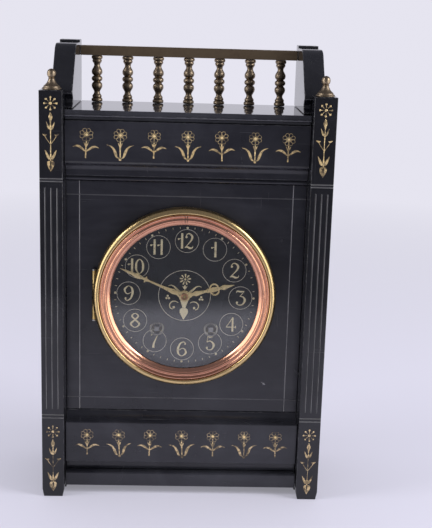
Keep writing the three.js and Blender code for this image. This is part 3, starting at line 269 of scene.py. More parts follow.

# %% [markdown]
# ## Slate
#
# Polished black slate is nearly black and slightly blue, with faint clouds in the stone. The polish
# is a mirror with soft smears from cloths and a few hairline scratches. Two marks on the faces tell
# the material where the stone was cut: "arris" is a rounded edge, which is rubbed grey in places,
# and "cut" is the wall of an incised line, which was left unpolished and pale. That pale colour is
# partly painted light: it is strong on the wall taken to be lit and faint on the one in shade.

# %% Slate finish
STONE = (0.0115, 0.0115, 0.0160)
CLOUD = (0.0260, 0.0262, 0.0340)
CRYSTALS = (0.03, 0.03, 0.034)
CLOTH_FILM = (0.085, 0.086, 0.10)
SCRATCH = (0.10, 0.10, 0.105)
RUBBED_ARRIS = (0.10, 0.098, 0.105)
# Pale dust of the unpolished walls of incised lines, which is also a painted highlight on the wall taken to
# be lit.
CUT_DUST_AND_LIGHT = (0.42, 0.41, 0.41)


def scratches(f, scale, lean, level):
    """Hairlines, where streaks of noise rise past the level."""
    return f.noise(1.0, 2, at=f.stretched(scale, lean)).above(level, 0.05)


def slate(name, polish=0.20, tone=1.0, dust=1.0, index=1.52):
    f = Finish(name, IOR=index)
    cloud = f.noise(16, 4, 0.55, 0.4)
    grain = f.noise(1400, 2, 0.6)
    smear = f.noise(38, 5, 0.6, 1.2)
    rubbed = f.noise(260, 4, 0.7).above(0.47, 0.16)
    hair = scratches(f, (14, 14, 1300), 0.5, 0.71) + scratches(f, (900, 900, 16), 0.35, 0.73)
    hair = hair * f.noise(30, 2).above(0.5, 0.1)
    dark, light = (tuple(c * tone for c in shade) for shade in (STONE, CLOUD))
    stone = f.mix(cloud.above(0.35, 0.4), dark, light)
    stone = f.mix(grain.above(0.5, 0.5) * 0.35, stone, CRYSTALS)
    film = f.noise(11, 6, 0.62, 1.6).above(0.44, 0.34)
    wiped = f.noise(1.0, 4, 0.6, 0.8, f.stretched((9, 9, 70), 0.35)).above(0.5, 0.3)
    stone = f.mix(film * 0.24 * dust + wiped * 0.16 * dust, stone, CLOTH_FILM)
    stone = f.mix(hair * 0.45, stone, SCRATCH)
    stone = f.mix(f.mark("arris") * rubbed * 0.7, stone, RUBBED_ARRIS)
    filled = f.noise(55, 3, 0.6).above(0.38, 0.25) * 0.4 + 0.6
    # Walls of incised lines: pale unpolished dust, with a painted highlight on the lit wall and painted shade
    # on the other.
    stone = f.mix(f.mark("cut") * filled, stone, CUT_DUST_AND_LIGHT)
    gloss = smear.above(0.38, 0.5) * polish * 0.8 + grain * 0.03 + polish * 0.8
    f.feed(Base_Color=stone, Roughness=gloss + hair * 0.2 + f.mark("arris") * 0.10 + f.mark("cut") * 0.5)
    f.feed(Normal=f.bump(grain + f.noise(22, 2) * 6 - hair * 2, 0.006))
    return f.material


SLATE = slate("slate_polished")
SLATE_SHELF = slate("slate_shelf", polish=0.04, index=2.0)
SLATE_BRACKET = slate("slate_bracket", polish=0.08, tone=0.45, dust=0.3)
SLATE_POST = slate("slate_pilaster", polish=0.15, tone=0.42, dust=0.35)
print("nodes in the slate:", len(SLATE.node_tree.nodes))

# %% [markdown]
# The back and the inside of such a case never got the polish. The stone there is greyer and shows
# the marks of the saw.

# %% Sawn slate
def sawn_slate():
    f = Finish("slate_sawn", IOR=1.5)
    cloud = f.noise(20, 4, 0.6, 0.5)
    saw = f.noise(1.0, 3, 0.6, 0.0, f.stretched((25, 25, 900), 0.04))
    dust = f.noise(60, 5, 0.65, 0.8).above(0.5, 0.3)
    stone = f.mix(cloud.above(0.3, 0.5), (0.017, 0.017, 0.020), (0.030, 0.030, 0.034))
    stone = f.mix(dust * 0.3, stone, (0.075, 0.072, 0.070))
    f.feed(Base_Color=f.mix(f.mark("arris") * 0.5, stone, (0.09, 0.09, 0.09)))
    f.feed(Roughness=saw * 0.15 + dust * 0.12 + 0.42, Normal=f.bump(saw, 0.04))
    return f.material


SAWN = sawn_slate()
print("nodes in the sawn slate:", len(SAWN.node_tree.nodes))

# %% [markdown]
# ## Gilding
#
# The flowers are gold powder in varnish, laid into shallow cuts. It scatters light more than solid
# brass does, so it is only partly metallic. Where hands and cloths have rubbed it, the brown ground
# shows through.

# %% Gilding
BROWN_GROUND = (0.10, 0.070, 0.040)
DEEPER_GOLD = (0.82, 0.74, 0.60)


def gilding(name, bright, wear, metallic=0.5):
    f = Finish(name, IOR=1.5)
    rub = f.noise(430, 4, 0.7, 0.3).above(0.62 - wear, 0.09)
    bare = f.noise(150, 3, 0.6).above(0.68 - wear, 0.06)
    deep = tuple(c * share for c, share in zip(bright, DEEPER_GOLD))
    gold = f.mix(f.noise(90, 2), bright, deep)
    f.feed(Base_Color=f.mix(rub * 0.75 + bare * 0.5, gold, BROWN_GROUND))
    f.feed(Metallic=metallic - rub * metallic * 0.8, Roughness=rub * 0.2 + 0.34)
    f.feed(Normal=f.bump(f.noise(1100, 2), 0.09))
    return f.material


GILT = gilding("gilding", (0.95, 0.74, 0.40), 0.13)
GILT_EYE = gilding("gilding_eyes", (1.0, 0.80, 0.42), 0.02, 0.3)
GILT_FAINT = gilding("gilding_rubbed", (0.84, 0.66, 0.40), 0.17)
GILT_DIAL = gilding("gilding_dial", (1.0, 0.86, 0.58), 0.03, 0.2)
GILT_LINE = gilding("gilding_lines", (0.84, 0.77, 0.66), 0.06)
HAND_BRASS = gilding("hand_gilding", (0.92, 0.72, 0.40), 0.06, 0.35)
print("finishes so far:", len(bpy.data.materials))

# %% [markdown]
# ## Brass and its relatives
#
# One recipe makes all the metals: a clean colour, a tarnished colour that gathers in clouds, fine
# turning marks round the arbor of the dial, and a roughness that follows both. Only the colours and
# the amounts differ.

# %% Metal
TOOL_MARKS = 26000  # radians to the metre, which is a mark every quarter of a millimetre


def metal(name, clean, tarnished, tarnish, roughness, turned=0.0):
    f = Finish(name, Metallic=1.0)
    cloud = f.noise(70, 4, 0.6, 0.7).above(0.62 - tarnish * 0.5, 0.3)
    speck = f.noise(900, 3, 0.7).above(0.60, 0.2)
    tone = f.mix(cloud * 0.75 + speck * 0.06, clean, tarnished)
    fine = f.noise(2600, 2)
    height = fine * 0.12
    if turned:
        reach = f.distance_from(DIAL.x * MM, DIAL.z * MM) * TOOL_MARKS
        height = height + f.node("ShaderNodeMath", {"operation": "SINE"}, {0: reach}) * turned
    f.feed(Base_Color=tone, Roughness=cloud * 0.12 + speck * 0.06 + fine * 0.05 + roughness)
    f.feed(Normal=f.bump(height, 0.004))
    return f.material


BEZEL_BRASS = metal("bezel_brass", (0.74, 0.54, 0.26), (0.50, 0.36, 0.17), 0.30, 0.21, turned=0.1)
COPPER = metal("copper_lacquer", (0.79, 0.41, 0.27), (0.50, 0.25, 0.18), 0.30, 0.15, turned=0.1)
OLD_BRASS = metal("old_brass", (0.37, 0.275, 0.17), (0.20, 0.145, 0.10), 0.40, 0.30)
TURNED_BRASS = metal("turned_brass", (0.30, 0.235, 0.165), (0.17, 0.13, 0.095), 0.42, 0.36)
PALE_BRASS = metal("pale_brass", (0.36, 0.33, 0.28), (0.15, 0.135, 0.11), 0.45, 0.14)
DARK_STEEL = metal("dark_steel", (0.36, 0.34, 0.32), (0.16, 0.15, 0.14), 0.40, 0.38)
PLATE_BRASS = metal("movement_brass", (0.64, 0.47, 0.20), (0.54, 0.38, 0.165), 0.30, 0.27, turned=1.0)
COLLET_BRASS = metal("collet_brass", (0.50, 0.27, 0.15), (0.30, 0.14, 0.08), 0.40, 0.30)
STEEL = metal("steel", (0.44, 0.45, 0.47), (0.20, 0.19, 0.19), 0.30, 0.28)
BLUED = metal("blued_steel", (0.05, 0.075, 0.17), (0.03, 0.035, 0.06), 0.40, 0.25)
BELL = metal("bell_metal", (0.70, 0.58, 0.34), (0.45, 0.35, 0.20), 0.25, 0.20, turned=1.0)
print("finishes with the metals:", len(bpy.data.materials))

# %% [markdown]
# ## Dial paint and glass
#
# The dial is black enamel paint, glossy, with a breath of dust. The glass is modelled as a thin
# sheet: light passes straight through it, and a Fresnel share is mirrored where a ray enters. The
# share is raised to stand for both faces and for the film on them, and the dial behind the glass
# stays as bright as it should be.

# %% Dial paint and glass
MIRROR_SHARE = 3.4


def dial_paint():
    f = Finish("dial_paint", IOR=1.5)
    dust = f.noise(500, 4, 0.7).above(0.62, 0.2)
    tone = f.mix(f.noise(40, 3), (0.010, 0.010, 0.012), (0.016, 0.016, 0.019))
    f.feed(Base_Color=f.mix(dust * 0.25, tone, (0.09, 0.09, 0.09)))
    f.feed(Roughness=f.noise(60, 4) * 0.10 + dust * 0.08 + 0.10)
    return f.material


def clear_glass():
    f = Finish("bezel_glass_clear")
    mirror = f.node("ShaderNodeBsdfGlossy", {}, {"Roughness": 0.02})
    through = f.node("ShaderNodeBsdfTransparent", {}, {"Color": (0.97, 0.985, 0.98, 1.0)})
    rear = f.node("ShaderNodeNewGeometry", output="Backfacing")
    share = f.node("ShaderNodeFresnel", {}, {"IOR": 1.5}) * (1.0 - rear) * MIRROR_SHARE
    return f.show(f.blend(share, through, mirror)).material


DIAL_PAINT = dial_paint()
GLASS = clear_glass()
print("finishes:", len(bpy.data.materials))

# %% [markdown]
# ## From a drawn shape to a piece
#
# A new shape is drawn in a bmesh, which is a mesh on the workbench, and set down as an object when
# it is ready: scaled to metres, smooth but for its sharp edges, and tied to the body it rides on,
# while the nodes of the frame that it takes the place of are hidden.

# %% Make a piece from a mesh
def mesh_of(bm, name, material):
    mesh = bpy.data.meshes.new(name)
    bm.to_mesh(mesh)
    bm.free()
    mesh.materials.append(material)
    return mesh


def piece_of(bm, name, material, body, slot, *replaced, crease=32):
    """A mesh drawn in millimetres becomes a piece; edges sharper than the crease stay crisp."""
    bmesh.ops.scale(bm, vec=(MM, MM, MM), verts=bm.verts)
    for edge in bm.edges:
        edge.smooth = len(edge.link_faces) == 2 and edge.calc_face_angle(0.0) < math.radians(crease)
    for face in bm.faces:
        face.smooth = True
    piece = placed(name, mesh_of(bm, name, material))
    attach(piece, body)
    if replaced:
        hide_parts(*replaced)
    return piece


def joined(*parts):
    """Several drawn shapes as one."""
    whole = bmesh.new()
    for part in parts:
        mesh = bpy.data.meshes.new("part")
        part.to_mesh(mesh)
        part.free()
        whole.from_mesh(mesh)
        bpy.data.meshes.remove(mesh)
    return whole


# %% [markdown]
# ## Softened slabs
#
# A CAD slab has perfect knife edges. On the real clock every outer edge has a tiny rounded arris,
# which catches the light as a fine line and is what makes the stone look solid. So each slab is
# copied, its triangles are merged back into whole faces, and its outward edges that turn sharply
# get a narrow bevel. Large faces then keep their own normals, or the bevels would bend what the
# polished stone mirrors.

# %% Soften the edges of a slab
def merged_copy(node):
    """A node's own shape in millimetres, with its triangles joined into whole faces."""
    bm = bmesh.new()
    bm.from_mesh(frame["nodes"][node].data)
    bmesh.ops.scale(bm, vec=(1 / MM,) * 3, verts=bm.verts)
    bmesh.ops.remove_doubles(bm, verts=bm.verts, dist=0.002)
    bmesh.ops.dissolve_limit(bm, angle_limit=math.radians(0.5), verts=bm.verts, edges=bm.edges)
    return bm


def rounded(bm, edges, width, segments=2):
    return bmesh.ops.bevel(bm, geom=edges, offset=width, offset_type="OFFSET", affect="EDGES",
                           segments=segments, profile=0.5, material=-1, clamp_overlap=True)


def soften(bm, width, segments=2, corner=55):
    """Rounds the outward edges that turn by more than the corner angle, and marks the new faces."""
    arris = bm.faces.layers.float.get("arris") or bm.faces.layers.float.new("arris")
    edges = [e for e in bm.edges
             if len(e.link_faces) == 2 and e.is_convex and e.calc_face_angle(0.0) > math.radians(corner)]
    for face in rounded(bm, edges, width, segments)["faces"]:
        face[arris] = 1.0
    return bm


def keep_flats(piece):
    modifier = piece.modifiers.new("flat faces", "WEIGHTED_NORMAL")
    modifier.keep_sharp = True
    modifier.weight = 80


panel = merged_copy("front_panel")
print("whole faces in the front panel:", len(panel.faces))
panel.free()

# %% [markdown]
# An incised line is found by its place: a sloping face close to the front of a slab is the wall of a
# line. On the friezes, where coves slope too, only the height of the line itself counts. Of the two
# walls, one is painted pale, as unpolished dust and as a painted highlight, and the other is left
# dark as painted shade, which makes the line look sharp. On a level line the pale wall is the one
# that faces up, and on an upright line it is the wall that faces the middle of the clock.

# %% Slabs
WALL_REACH = 0.5  # how far a line's wall may lie from the face of the slab
LINE_REACH = 0.8  # and from the height of the line
FOOT_MOULDING = 8.0  # slopes this near the pilasters' feet are mouldings
# The little pale colour kept on the wall taken to be in shade: painted shade.
SHADED_WALL = 0.06


def mark_lines(bm, face_depth, height, level, upright):
    """The level and the upright share are the pale dust and painted highlight on the lit walls of the two
    kinds of line.
    """
    cut = bm.faces.layers.float.new("cut")
    foot = low("pilaster_left").z
    for face in bm.faces:
        centre = face.calc_center_median()
        sloping = 0.2 < abs(face.normal.y) < 0.95 and abs(centre.y - face_depth) < WALL_REACH
        near = height is None or abs(centre.z - height) < LINE_REACH
        if sloping and near and abs(centre.z - foot) > FOOT_MOULDING:
            inward = face.normal.x if centre.x < 0 else -face.normal.x
            # Painted light: a wall facing the middle or facing up gets the pale colour, and any other wall
            # stays dark.
            face[cut] = upright if inward > 0.2 else level if face.normal.z > 0.2 else SHADED_WALL


def slab(node, material, line_depth=None, height=None, width=0.35, level=0.2, upright=0.5):
    bm = merged_copy(node)
    if line_depth is not None:
        mark_lines(bm, line_depth, height, level, upright)
    soften(bm, width)
    keep_flats(piece_of(bm, node + "_stone", material, "case", "slate", node, crease=50))


FRIEZE_LINE = low("upper_frieze").z + 14.9
# The pale shares on the walls of lines are partly painted highlight; the panel's upright lines and the
# pilasters' level lines get more.
slab("front_panel", SLATE, PANEL_FACE, upright=1.0)
slab("upper_frieze", SLATE, UPPER_FACE, FRIEZE_LINE)
slab("lower_frieze", SLATE)
slab("plinth_slab", SLATE)
slab("top_slab", SLATE_SHELF, width=0.25)
slab("back_panel", SAWN)
for side in ("left", "right"):
    slab(f"pilaster_{side}", SLATE_POST, POST_FACE, level=0.45)
    slab(f"side_panel_{side}", SLATE)
    slab(f"scroll_bracket_{side}", SLATE_BRACKET, width=0.6)
print("slabs softened; upper frieze line at", round(FRIEZE_LINE, 1))

# %% [markdown]
# ## Drawing with gold
#
# Every leaf, petal and figure is one stroke of varying width, as a gilder would lay it with a
# brush. A stroke is a poly curve with a radius at each point and a round section. It is made a
# mesh and then pressed flat, so that it stands about a tenth of a millimetre proud, with soft sides.

# %% Ease a line through a few points
def eased(points, steps=5, closed=False):
    """Points of a smooth line through the given ones. Widths are eased with the places."""
    count = len(points)
    spans = count if closed else count - 1
    line = []
    for i in range(spans):
        if closed:
            a, b, c, d = (points[(i + k) % count] for k in (-1, 0, 1, 2))
        else:
            a, b, c, d = (points[min(max(i + k, 0), count - 1)] for k in (-1, 0, 1, 2))
        for step in range(steps):
            t = step / steps
            line.append(tuple(
                0.5 * (2 * q + (r - p) * t + (2 * p - 5 * q + 4 * r - s) * t * t
                       + (3 * q - p - 3 * r + s) * t ** 3)
                for p, q, r, s in zip(a, b, c, d)))
    return line if closed else line + [tuple(points[-1])]


print("points in a line eased through four:", len(eased([(0, 0), (1, 0), (1, 1), (0, 1)])))

# %% [markdown]
# A drawing gathers such strokes, and round dots for eyes and berries. It is made in an upright
# plane and moved to its place later, so the friezes, the dial and the hands are all drawn alike.

# %% A drawing of strokes and dots
class Drawing:
    """Strokes and dots in millimetres: x to the right and z up, seen from the front."""

    def __init__(self):
        self.curve = bpy.data.curves.new("strokes", "CURVE")
        self.curve.dimensions = "3D"
        self.curve.bevel_depth = 1.0
        self.curve.bevel_resolution = 1
        self.curve.use_fill_caps = True
        self.dots = []

    def stroke(self, *points, closed=False, steps=5):
        """Each point is (x, z, width)."""
        line = eased(points, steps, closed)
        spline = self.curve.splines.new("POLY")
        spline.points.add(len(line) - 1)
        for knot, (x, z, width) in zip(spline.points, line):
            knot.co = (x, 0.0, z, 1.0)
            knot.radius = max(width, 0.06) / 2
        spline.use_cyclic_u = closed
        return self

    def circle(self, x, z, radius, width, steps=48):
        turn = [2 * math.pi * i / steps for i in range(steps)]
        ring = [(x + radius * math.cos(a), z + radius * math.sin(a), width) for a in turn]
        return self.stroke(*ring, closed=True, steps=1)

    def dot(self, x, z, size):
        self.dots.append((x, z, size))
        return self

    def stretch_up(self, share):
        """Makes the drawing taller or lower, and leaves its widths as they are."""
        for spline in self.curve.splines:
            for knot in spline.points:
                knot.co.z *= share
        self.dots = [(x, z * share, size) for x, z, size in self.dots]

    def mesh(self, thickness):
        """Presses the strokes to this thickness above and below the drawing's plane."""
        holder = bpy.data.objects.new("strokes", self.curve)
        made = bpy.data.meshes.new_from_object(holder)
        bm = bmesh.new()
        bm.from_mesh(made)
        bpy.data.objects.remove(holder)
        for x, z, size in self.dots:
            bmesh.ops.create_uvsphere(bm, u_segments=12, v_segments=6, radius=size / 2,
                                      matrix=Matrix.Translation((x, 0, z)))
        for vert in bm.verts:
            pressed = thickness * (1 - math.exp(-abs(vert.co.y) / thickness))
            vert.co.y = math.copysign(pressed, vert.co.y)
        return bm


print("a drawing can:", skills(Drawing))

# %% [markdown]
# A gilder repeats a pattern by eye. No two flowers lean alike, so each copy may wander by a few
# degrees and a few parts in a hundred of its size. The draws are seeded with the piece's name, so
# that they come out the same every time.

# %% Lay a drawing on the clock
def laid(drawing, name, places, depth, material, slot="gilt", thickness=0.12, turn=0.0, wander=0.0):
    """Copies a drawing to each (x, z) at this depth, all in one piece."""
    hand = random.Random(name)
    pattern = drawing.mesh(thickness)
    copies = []
    for x, z in places:
        lean = turn + hand.uniform(-wander, wander)
        size = 1 + hand.uniform(-wander, wander) / 100
        spin = Matrix.Rotation(math.radians(lean), 4, "Y") @ Matrix.Scale(size, 4)
        copy = pattern.copy()
        bmesh.ops.transform(copy, matrix=Matrix.Translation((x, depth, z)) @ spin, verts=copy.verts)
        copies.append(copy)
    pattern.free()
    piece_of(joined(*copies), name, material, "case", slot, crease=70)


HAND_WANDER = 2.5
print("a gilder's hand wanders up to", HAND_WANDER, "degrees")

# %% [markdown]
# ## The friezes' flowers
#
# Two flowers take turns along each frieze. Both have a head of eight outlined petals round a bright
# eye. The first spreads two arching leaves from its stem, and the second rises from a cup of two
# long leaves whose tips curl outwards. Leaves are drawn on one side and mirrored.

# %% Flower heads
PETALS = 8
HEAD_RADIUS = 4.8


def mirrored(drawing, *points):
    drawing.stroke(*points)
    drawing.stroke(*[(-x, z, width) for x, z, width in points])


def flower_head(drawing):
    for i in range(PETALS):
        angle = 2 * math.pi * (i + 0.5) / PETALS
        across = Vector((-math.sin(angle), math.cos(angle)))
        along = Vector((math.cos(angle), math.sin(angle)))
        shape = ((1.7, 0.0), (3.0, 1.2), (4.1, 1.15), (HEAD_RADIUS, 0.0), (4.1, -1.15), (3.0, -1.2))
        petal = [(*(along * r + across * s), 0.25) for r, s in shape]
        drawing.stroke(*petal, closed=True, steps=3)
    drawing.circle(0, 0, 1.5, 0.35, 16)


def spreading_flower():
    d = Drawing()
    flower_head(d)
    d.stroke((0, -4.4, 0.5), (0, -7.5, 0.8), (0, -12, 0.75), (0, -17, 0.95), steps=3)
    mirrored(d, (0.2, -8.6, 0.9), (0.9, -7.0, 1.0), (1.7, -5.4, 0.15))
    mirrored(d, (0.1, -12.2, 0.6), (1.8, -10.9, 1.3), (4.4, -9.0, 1.9), (6.8, -8.4, 1.2), (9.2, -9.3, 0.15))
    return d


def cup_flower():
    d = Drawing()
    flower_head(d)
    d.stroke((0, -4.4, 0.5), (0, -8, 1.1), (0, -12, 0.8), (0, -16.6, 0.6), steps=3)
    mirrored(d, (0.2, -8.4, 0.9), (0.9, -7.0, 1.0), (1.6, -5.6, 0.15))
    mirrored(d, (0.9, -17.0, 0.6), (2.5, -15.8, 1.5), (3.5, -13.0, 2.2), (4.8, -10.1, 1.7), (6.9, -8.1, 1.0),
             (9.7, -7.2, 0.15))
    return d.dot(0, -17.9, 1.8)


def flower_eye():
    return Drawing().dot(0, 0, 2.1).dot(0, -5.3, 0.9)


print("petals on a head:", PETALS)

# %% [markdown]
# The rows are worked out from a spacing and a height, as a mason would mark them on the stone. The
# eyes are brighter gold and thicker than the rest, so they are pieces of their own. The lower row
# is nearer to hands and dusters, and its gilding is fainter.

# %% Flowers on the friezes
FLOWER_COUNT = 7
UPPER_SPACING, LOWER_SPACING = 24.27, 24.05
UPPER_HEADS = high("upper_frieze").z - 10.0
LOWER_HEADS = 47.0


def flower_row(name, spacing, head_height, depth, material, stretch):
    """The heads stand at this height; the two kinds of flower take turns."""
    places = [((i - (FLOWER_COUNT - 1) / 2) * spacing, head_height) for i in range(FLOWER_COUNT)]
    laid(flower_eye(), f"{name}_flower_eyes", places, depth, GILT_EYE, thickness=0.16)
    for kind, drawing, chosen in (("spreading", spreading_flower(), places[::2]),
                                  ("cup", cup_flower(), places[1::2])):
        drawing.stretch_up(stretch)
        laid(drawing, f"{name}_{kind}_flowers", chosen, depth, material, wander=HAND_WANDER)


flower_row("upper", UPPER_SPACING, UPPER_HEADS, UPPER_FACE, GILT, 0.97)
flower_row("lower", LOWER_SPACING, LOWER_HEADS, LOWER_FACE, GILT_FAINT, 0.96)
print("flowers on the friezes:", 2 * FLOWER_COUNT)

# %% [markdown]
# ## The pilasters' sprays
#
# Each pilaster has the same upright spray at its head and its foot: a rosette of eight dots, a bud,
# a small tulip, a stem with two side leaves, a large tulip and a heart-shaped bulb that points down.

# %% Sprays
def spray(stem_width):
    d = Drawing()
    for i in range(8):
        angle = math.pi * i / 4
        across, up = math.cos(angle), math.sin(angle)
        d.stroke((1.9 * across, 1.9 * up, 0.3), (3.6 * across, 3.6 * up, 0.45), steps=1)
        d.dot(4.3 * across, 4.3 * up, 1.45)
    d.dot(0, 0, 2.2)
    d.stroke((0, -6.0, 0.3), (0, -7.8, 1.7), (0, -9.6, 2.9), (0, -12.0, 1.2), (0, -14.6, 0.4), steps=4)
    mirrored(d, (2.8, -13.0, 0.2), (2.1, -15.2, 1.1), (1.1, -17.2, 1.7), (0.1, -18.3, 0.8))
    d.stroke((0, -14.4, 0.3), (0, -16.2, 1.2), (0, -18, 0.8), steps=3)
    d.stroke((0, -18, stem_width), (0, -27, stem_width), (0, -36.6, stem_width), steps=1)
    mirrored(d, (0.1, -28.8, 0.3), (1.6, -26.8, 0.35), (3.1, -24.6, 0.4), (4.1, -22.8, 0.4))
    mirrored(d, (2.7, -22.0, 0.25), (4.2, -22.3, 1.5), (5.9, -21.5, 0.3))
    mirrored(d, (4.1, -32.8, 0.2), (3.1, -35.0, 1.4), (2.0, -37.4, 2.1), (0.8, -39.3, 1.6))
    d.stroke((0, -34.6, 0.3), (0, -37.0, 1.1), (0, -39.4, 1.2), (0, -40.8, 0.5), steps=3)
    mirrored(d, (0.5, -41.0, 1.0), (1.5, -41.6, 2.2), (1.5, -43.2, 2.4), (0.8, -45.6, 1.6), (0.0, -48.2, 0.2))
    return d


ROSETTE_BELOW_TOP = 9.0
FOOT_ROSETTE = 52.6
for side in ("left", "right"):
    post = f"pilaster_{side}"
    x = middle(post).x
    laid(spray(0.5), f"{post}_head_spray", [(x, high(post).z - ROSETTE_BELOW_TOP)], POST_FACE, GILT)
    laid(spray(0.25), f"{post}_foot_spray", [(x, FOOT_ROSETTE)], POST_FACE, GILT_FAINT)
print("sprays: 4")

# %% [markdown]
# ## The dial's figures
#
# Figures of that time are tall and narrow, with thick and thin strokes and round blobs at their
# ends. No typeface has just these forms, so each figure is a few strokes, 11.6 mm tall, about its
# own middle. The numbers one to twelve are put together from them, and every number stands upright.

# %% Figures
BOLD = 1.18  # how much wider than the pattern the strokes are
FIGURES = {
    "0": [[(0, 5.5, 0.5), (2.2, 3.2, 1.2), (2.6, 0, 1.55), (2.2, -3.2, 1.2), (0, -5.5, 0.5),
           (-2.2, -3.2, 1.2), (-2.6, 0, 1.55), (-2.2, 3.2, 1.2)]],
    "1": [[(0, 5.9, 0.9), (0, 4.8, 1.35), (0, -4.6, 1.35), (0, -5.8, 1.7)],
          [(-2.3, 1.5, 0.7), (-0.6, 1.9, 0.3)]],
    "2": [[(-2.2, 3.1, 0.6), (-1.4, 5.1, 0.6), (0.4, 5.6, 0.9), (2.4, 3.6, 1.6), (1.9, 0.8, 1.2),
           (-0.5, -2.4, 0.6), (-2.9, -5.2, 0.5)],
          [(-2.9, -5.0, 0.5), (-1.2, -4.5, 1.2), (1.0, -5.4, 1.4), (2.8, -5.0, 0.6), (3.1, -3.6, 0.3)]],
    "3": [[(-2.3, 3.9, 0.3), (-2.1, 5.3, 0.9), (0.2, 4.9, 1.2), (2.4, 5.4, 0.5)],
          [(2.4, 5.4, 0.4), (1.2, 3.4, 0.45), (-0.3, 1.3, 0.5)],
          [(-0.3, 1.3, 0.5), (1.9, 0.7, 1.0), (2.9, -2.0, 1.7), (1.3, -5.1, 0.9), (-1.2, -5.4, 0.5),
           (-2.5, -3.9, 0.6)]],
    "4": [[(0.9, 5.6, 0.8), (-0.9, 2.0, 0.5), (-3.0, -1.9, 0.4)],
          [(-3.1, -2.1, 0.6), (0, -2.1, 0.6), (2.7, -2.1, 0.5)],
          [(0.9, 5.6, 0.7), (0.8, 3.0, 1.3), (0.8, -4.6, 1.4), (0.8, -5.7, 1.7)],
          [(2.7, -1.1, 0.3), (2.6, -2.1, 0.7), (2.7, -3.1, 0.3)]],
    "5": [[(-1.5, 5.2, 0.5), (-1.8, 3.0, 0.45), (-2.0, 0.6, 0.5)],
          [(-1.5, 5.2, 0.6), (0.2, 4.7, 1.2), (2.3, 5.6, 0.4)],
          [(-2.0, 0.6, 0.5), (0.2, 1.6, 0.8), (2.6, -1.4, 1.7), (1.4, -4.9, 0.9), (-1.0, -5.5, 0.5),
           (-2.5, -4.1, 0.6)]],
    "6": [[(2.3, 4.2, 0.6), (0.9, 5.6, 0.6), (-1.3, 4.0, 1.1), (-2.6, -0.6, 1.65), (-1.9, -4.4, 1.1),
           (0.2, -5.6, 0.6), (2.4, -3.1, 1.5), (1.7, -0.3, 0.8), (0.1, 0.4, 0.5), (-2.2, -1.3, 0.4)]],
    "7": [[(-2.3, 3.9, 0.4), (-1.6, 5.4, 1.1), (0.5, 4.8, 1.1), (2.5, 5.5, 0.5)],
          [(2.5, 5.5, 0.4), (0.8, 1.6, 0.8), (-0.6, -2.6, 1.4), (-0.9, -5.6, 1.8)]],
    "8": [[(0, 5.5, 0.6), (2.0, 3.5, 1.1), (0, 0.6, 1.2), (-2.7, -2.8, 1.4), (0, -5.5, 0.6),
           (2.7, -2.8, 1.4), (0, 0.6, 1.2), (-2.0, 3.5, 1.1)]],
    "9": [[(-2.3, -4.2, 0.6), (-0.9, -5.6, 0.6), (1.3, -4.0, 1.1), (2.6, 0.6, 1.65), (1.9, 4.4, 1.1),
           (-0.2, 5.6, 0.6), (-2.4, 3.1, 1.5), (-1.7, 0.3, 0.8), (-0.1, -0.4, 0.5), (2.2, 1.3, 0.4)]],
}
CLOSED = ("0", "8")
BLOBS = {"1": (-2.6, 1.4, 1.4), "2": (-1.8, 3.0, 1.7), "3": (-2.0, -3.6, 1.7), "5": (-2.0, -3.8, 1.7),
         "6": (1.9, 3.9, 1.4), "9": (-1.9, -3.9, 1.4)}


def figure(d, digit, x, breadth):
    """Draws one digit about (x, 0); a broad one is wider and keeps its height."""
    for points in FIGURES[digit]:
        d.stroke(*[(x + px * breadth, pz, width * BOLD) for px, pz, width in points],
                 closed=digit in CLOSED)
    if digit in BLOBS:
        px, pz, size = BLOBS[digit]
        d.dot(x + px * breadth, pz, size)


print("figures:", len(FIGURES))

# %% [markdown]
# The painter set the numbers in a ring of circles. A dot marks each hour outside its circle, and a
# short tick each minute. The whole dial was fixed a degree or two clockwise of true, so the ring is
# turned, while the figures stay upright.

# %% Numbers, circles and ticks
NUMBER_RING = 42.1
NUMBER_CIRCLE = 8.8
TICK_RING = 52.1
TICK_LENGTH = 1.4
CENTRE_CIRCLE = 19.5
DIAL_TURN = 1.4
BREADTH = {"2": 1.1, "3": 1.2, "4": 1.25, "5": 1.12, "6": 1.22, "7": 1.1, "8": 1.2, "9": 1.18}
TWO_DIGITS = {"10": (-3.7, 1.9), "11": (-2.9, 2.4), "12": (-3.7, 1.3)}


def on_dial(ring, degrees):
    angle = math.radians(degrees + DIAL_TURN)
    return ring * math.sin(angle), ring * math.cos(angle)


def numbers():
    for hour in range(1, 13):
        d = Drawing()
        text = str(hour)
        for digit, x in zip(text, TWO_DIGITS.get(text, (0.4,) if text == "1" else (0.0,))):
            figure(d, digit, x, BREADTH.get(text, 1.0))
        x, z = on_dial(NUMBER_RING, 30 * hour)
        laid(d, f"number_{hour}", [(DIAL.x + x, DIAL.z + z)], DIAL_FACE, GILT_DIAL, thickness=0.08)


def dial_lines():
    circles = Drawing().circle(0, 0, CENTRE_CIRCLE, 0.5, 96)
    track = Drawing()
    for hour in range(12):
        circles.circle(*on_dial(NUMBER_RING, 30 * hour), NUMBER_CIRCLE, 0.4)
        track.dot(*on_dial(TICK_RING, 30 * hour), 1.8)
    for minute in range(60):
        if minute % 5:
            ends = (on_dial(TICK_RING + reach, 6 * minute) for reach in (-TICK_LENGTH / 2, TICK_LENGTH / 2))
            track.stroke(*[(x, z, 0.5) for x, z in ends], steps=1)
    laid(circles, "dial_circles", [(DIAL.x, DIAL.z)], DIAL_FACE, GILT_LINE, thickness=0.06)
    laid(track, "dial_minute_track", [(DIAL.x, DIAL.z)], DIAL_FACE, GILT_DIAL, thickness=0.08)


numbers()
dial_lines()
print("ring of numbers", 2 * NUMBER_RING, "mm and minute track", 2 * TICK_RING, "mm across")

# %% [markdown]
# Inside the small circle is a flower that seems to grow from the hands: a rosette above, two leaves
# that curl outwards, two groups of three dots, two scrolls, and a pale bud that hangs down.

